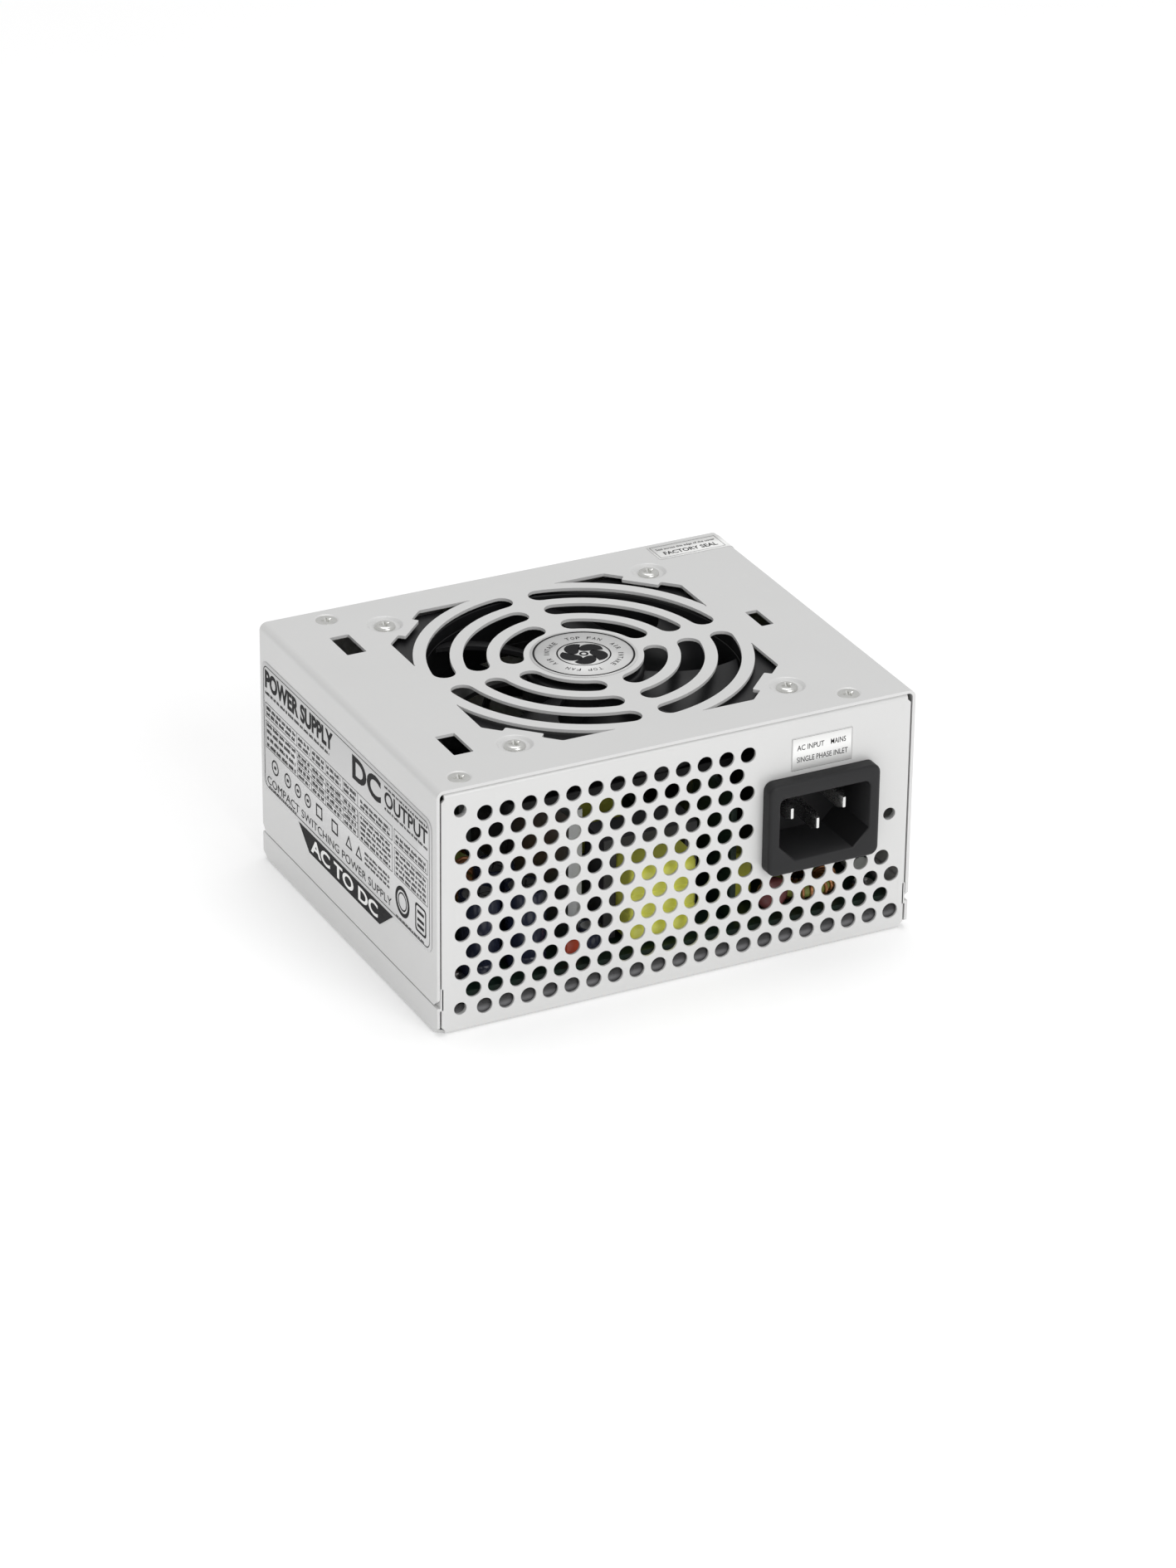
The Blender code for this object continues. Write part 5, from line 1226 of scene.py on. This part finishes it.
# The sticker that folds over the cover's right edge
def makeSeal():
    low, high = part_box("warranty_label")
    bend = cover["bend"] + labels["gap"]
    top, edge = coverHigh.z + labels["gap"], coverHigh.x + labels["gap"]
    centre = (edge - bend, top - bend)
    line = [(low.x, low.y, top)]
    line += [(x, low.y, z) for x, z in arcPoints(centre, bend, 90, 32, 8)]
    bm = bmesh.new()
    drawStrip(bm, line, (0, high.y - low.y, 0))
    closeUp(bm, ((low.x, low.y, top), (0, 0, 1)))
    piece = addPiece("seal_paper", bm, finishes["label_paper"], "warranty_label")
    addThickness(piece, labels["paper"], 1)
    plane = onPlane((0, 0, top + labels["paper"] + labels["ink"]), (1, 0, 0), (0, 1, 0))
    bm = bmesh.new()
    addFrame(
        bm, (low.x + 0.5 * mm, low.y + 0.5 * mm), (high.x - 2.2 * mm, high.y - 0.5 * mm), plane, 0.1 * mm
    )
    addText(bm, "Seal across this edge of the cover", (low.x + 1.4 * mm, low.y + 4.4 * mm),
            (high.x - 3 * mm, low.y + 5.7 * mm), plane, 0.008)
    addText(
        bm, "FACTORY SEAL", (low.x + 2.4 * mm, low.y + 1.7 * mm), (high.x - 3.6 * mm, low.y + 3.5 * mm),
        plane, 0.02
    )
    addInk("seal_ink", bm, inkBlack, (0, 0, 1))


def makeBadge():
    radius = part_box("fan_badge")[1].x - fanCentre.x
    outline = circlePoints(fanCentre.xy, radius, 72)
    surface = coverHigh.z + labels["gap"]
    flat = onPlane((0, 0, surface), (1, 0, 0), (0, 1, 0))
    addPaper("badge_foil_disc", outline, flat, finishes["badge_foil"], "fan_badge")
    plane = onPlane(
        (fanCentre.x, fanCentre.y, surface + labels["paper"] + labels["ink"]), (1, 0, 0), (0, 1, 0)
    )
    bm = bmesh.new()
    outer = radius - 0.6 * mm
    addBand(bm, circlePoints((0, 0), outer, 96), circlePoints((0, 0), outer - 0.48 * mm, 96), plane)
    for blade in range(5):
        turn = Matrix.Rotation(blade * math.tau / 5, 2)
        petal = arcPoints((2.6 * mm, 1.5 * mm), 2.9 * mm, -28, 118, 10) + arcPoints(
            (1.4 * mm, 2.6 * mm), 1.5 * mm, 160, 250, 6
        )
        fillSheet(bm, [[tuple(turn @ Vector(point)) for point in petal]], plane)
    addBand(bm, circlePoints((0, 0), 1.15 * mm, 28), circlePoints((0, 0), 0.6 * mm, 28), plane)
    addBand(bm, circlePoints((0, 0), 6.6 * mm, 64), circlePoints((0, 0), 6.25 * mm, 64), plane)
    letters = "TOP FAN  AIR INTAKE  "
    for index, letter in enumerate(letters * 2):
        if letter == " ":
            continue
        angle = math.tau * (0.25 - index / (2 * len(letters)))
        spot = Matrix.Translation((8.9 * mm * math.cos(angle), 8.9 * mm * math.sin(angle), 0))
        spin = Matrix.Rotation(angle - math.pi / 2, 4, "Z")
        width = 0.25 if letter == "I" else 0.95
        addText(bm, letter, (-width / 2 * mm, -0.65 * mm), (width / 2 * mm, 0.65 * mm), plane @ spot @ spin)
    addInk("badge_ink", bm, inkBlack, (0, 0, 1))


makeRatingLabel()
makeInletLabel()
makeSeal()
makeBadge()
print("labels built")


def spinRing(bm, centre, middle, section, flat, steps=48, sides=20):
    points = [(middle + section * math.cos(a), flat * section * math.sin(a))
              for a in (math.tau * step / sides for step in range(sides + 1))]
    turnProfile(bm, points, centre, steps)


# A ring core with its turns of wire laid side by side
def makeChoke(name, turns, wire, material):
    low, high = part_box(name)
    centre = (low + high) / 2
    outer, half = (high.x - low.x) / 2, (high.z - low.z) / 2
    sectionWide = {"filter_choke": 3.1 * mm, "output_choke": 4.6 * mm}[name]
    middle = outer - sectionWide
    bm = bmesh.new()
    spinRing(bm, centre, middle, sectionWide - 2 * wire, half / sectionWide)
    closeUp(bm)
    addPiece(f"{name}_core", bm, finishes["choke_winding"], name, smoothAngle=60)
    bm = bmesh.new()
    for turn in range(turns):
        if turn % (turns // 2) < 2:
            continue
        angle = turn * math.tau / turns
        out = Vector((math.cos(angle), math.sin(angle), 0))
        path = [
            centre + out * (middle + (sectionWide - wire) * math.cos(a)) + Vector(
                (0, 0, (half - wire) * math.sin(a))
            )
            for a in (math.tau * step / 14 for step in range(14))
        ]
        loops = []
        for index, point in enumerate(path):
            heading = (path[(index + 1) % len(path)] - path[index - 1]).normalized()
            side = heading.cross(Vector((-math.sin(angle), math.cos(angle), 0))).normalized()
            along = heading.cross(side)
            loops.append([point + wire * (side * math.cos(b) + along * math.sin(b))
                          for b in (math.tau * k / 6 for k in range(6))])
        loftLoops(bm, [*loops, loops[0]])
    closeUp(bm)
    addPiece(f"{name}_turns", bm, material, smoothAngle=80)


# A sleeved capacitor with its rolled groove and bare scored top
def makeCan(name, vent=True):
    low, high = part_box(name)
    radius, height = (high.x - low.x) / 2, high.z - low.z
    centre = Vector(((low.x + high.x) / 2, (low.y + high.y) / 2, low.z))
    radius = (high.y - low.y) / 2 if radius > (high.y - low.y) / 2 else radius
    lip, groove = radius * 0.12, height * 0.12
    body = [
        (0, 0), (radius * 0.9, 0), (radius, lip * 0.6), (radius, groove),
        (radius - lip * 0.8, groove + lip)
    ]
    body += [(radius, groove + 2 * lip), (radius, height - lip), (radius - lip * 0.3, height - lip * 0.3)]
    body += [(radius - lip, height), (radius - 1.6 * lip, height - 0.1 * mm)]
    bm = bmesh.new()
    turnProfile(bm, body, centre, 32)
    closeUp(bm)
    addPiece(f"{name}_sleeve", bm, finishes["capacitor_sleeve"], name, smoothAngle=40)
    lid = radius - 1.5 * lip
    bm = bmesh.new()
    turnProfile(bm, [
        (0, height - 0.16 * mm), (lid, height - 0.16 * mm), (lid, height - 0.5 * mm),
        (0, height - 0.5 * mm)
    ],
                centre, 32)
    closeUp(bm)
    addPiece(f"{name}_lid", bm, finishes["aluminium"])
    # the scores on the top are drawn as near-black strips: painted shade in the score grooves
    if vent:
        bm = bmesh.new()
        for angle in (0, 60, 120):
            spot = Matrix.Translation(centre + Vector((0, 0, height - 0.13 * mm))) @ Matrix.Rotation(
                math.radians(angle), 4, "Z"
            )
            addBlock(bm, (-lid * 0.7, -0.15 * mm, -0.06 * mm), (lid * 0.7, 0.15 * mm, 0.02 * mm), spot)
        addPiece(f"{name}_vent", bm, finishes["component_body"])


# A wound block under tape: soft corners, and the tape's edges showing at both ends
def makeTapedBlock(name, layers, edge):
    low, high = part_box(name)
    bm = bmesh.new()
    height = high.z - low.z
    inset = 0.35 * mm
    profile = [(0, inset * 3), (0.06, inset), (0.12, 0)]
    for layer in range(1, layers):
        middle = 0.12 + 0.76 * layer / layers
        profile += [(middle - 0.012, 0), (middle, inset * 0.45), (middle + 0.012, 0)]
    profile += [(0.88, 0), (0.94, inset), (1, inset * 3)]
    loops = []
    for share, pull in profile:
        z = low.z + share * height
        loop = roundedBox((low.x + pull, low.y + pull), (high.x - pull, high.y - pull), edge, 5)
        loops.append([Vector((x, y, z)) for x, y in loop])
    rings = loftLoops(bm, loops)
    bmesh.ops.triangle_fill(bm, use_beauty=True, edges=rings[0])
    bmesh.ops.triangle_fill(bm, use_beauty=True, edges=rings[-1])
    closeUp(bm)
    addPiece(f"{name}_taped", bm, tapeFinish(name, low, high), name, smoothAngle=50)


# Glossy yellow tape over the ridges of the winding below
def tapeFinish(name, low, high):
    finish = Finish(f"yellow_tape_{name}", (0.66, 0.66, 0.06), 0.28, Coat_Weight=0.3)
    wrinkle = finish.noise(340, 4, 0.6, finish.coords((1, 1, 3)))
    patch = finish.noise(90, 3)
    finish.feed("Base Color", finish.mix(patch, (0.72, 0.74, 0.06), (0.95, 0.95, 0.20)))
    finish.feed("Roughness", 0.22 + 0.2 * wrinkle)
    finish.bump(wrinkle, 0.5, 0.00012)
    return finish.material


# A dipped disc part standing on edge
def makeDisc(name, material):
    low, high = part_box(name)
    centre = (low + high) / 2
    radius, half = (high.z - low.z) / 2, (high.y - low.y) / 2
    points = [(0, -half)]
    turns = [math.pi * step / 8 for step in range(9)]
    points += [(radius - half + half * math.sin(a), -half * math.cos(a)) for a in turns]
    points.append((0, half))
    bm = bmesh.new()
    turnProfile(bm, points, centre, 32, (0, 1, 0))
    closeUp(bm)
    addPiece(f"{name}_disc", bm, material, name, smoothAngle=60)


def makeGrommet():
    low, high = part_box("cable_grommet")
    centre = (low + high) / 2
    outer, length = (high.x - low.x) / 2, (high.y - low.y) / 2
    bore, neck = 8 * mm, 9.7 * mm
    back = trayHigh.y - centre.y
    section = [
        (bore, -length + 0.5 * mm), (bore + 0.5 * mm, -length), (outer - 0.7 * mm, -length),
        (outer, -length + 0.7 * mm),
        (outer, back - sheet - 0.1 * mm), (neck, back - sheet - 0.1 * mm), (neck, back + 0.1 * mm),
        (outer, back + 0.1 * mm), (outer, length - 0.7 * mm), (outer - 0.7 * mm, length),
        (bore + 0.5 * mm, length), (bore, length - 0.5 * mm), (bore, -length + 0.5 * mm),
    ]
    bm = bmesh.new()
    turnProfile(bm, section, centre, 64, (0, 1, 0))
    closeUp(bm)
    addPiece("grommet_ring", bm, finishes["rubber"], "cable_grommet", smoothAngle=40)


makeChoke("filter_choke", 26, 0.42 * mm, finishes["copper"])
makeChoke("output_choke", 30, 0.6 * mm, finishes["copper"])
for canName in ("bulk_capacitor", "output_capacitor_1", "output_capacitor_2", "output_capacitor_3"):
    makeCan(canName)
makeCan("small_capacitor", False)
for blockName, layerCount in (
    ("x_capacitor", 1), ("transformer_winding", 3), ("standby_transformer", 3), ("pfc_choke", 4)
):
    makeTapedBlock(blockName, layerCount, 1.2 * mm)
makeDisc("varistor", finishes["maroon_epoxy"])
makeGrommet()
print("inner parts built")
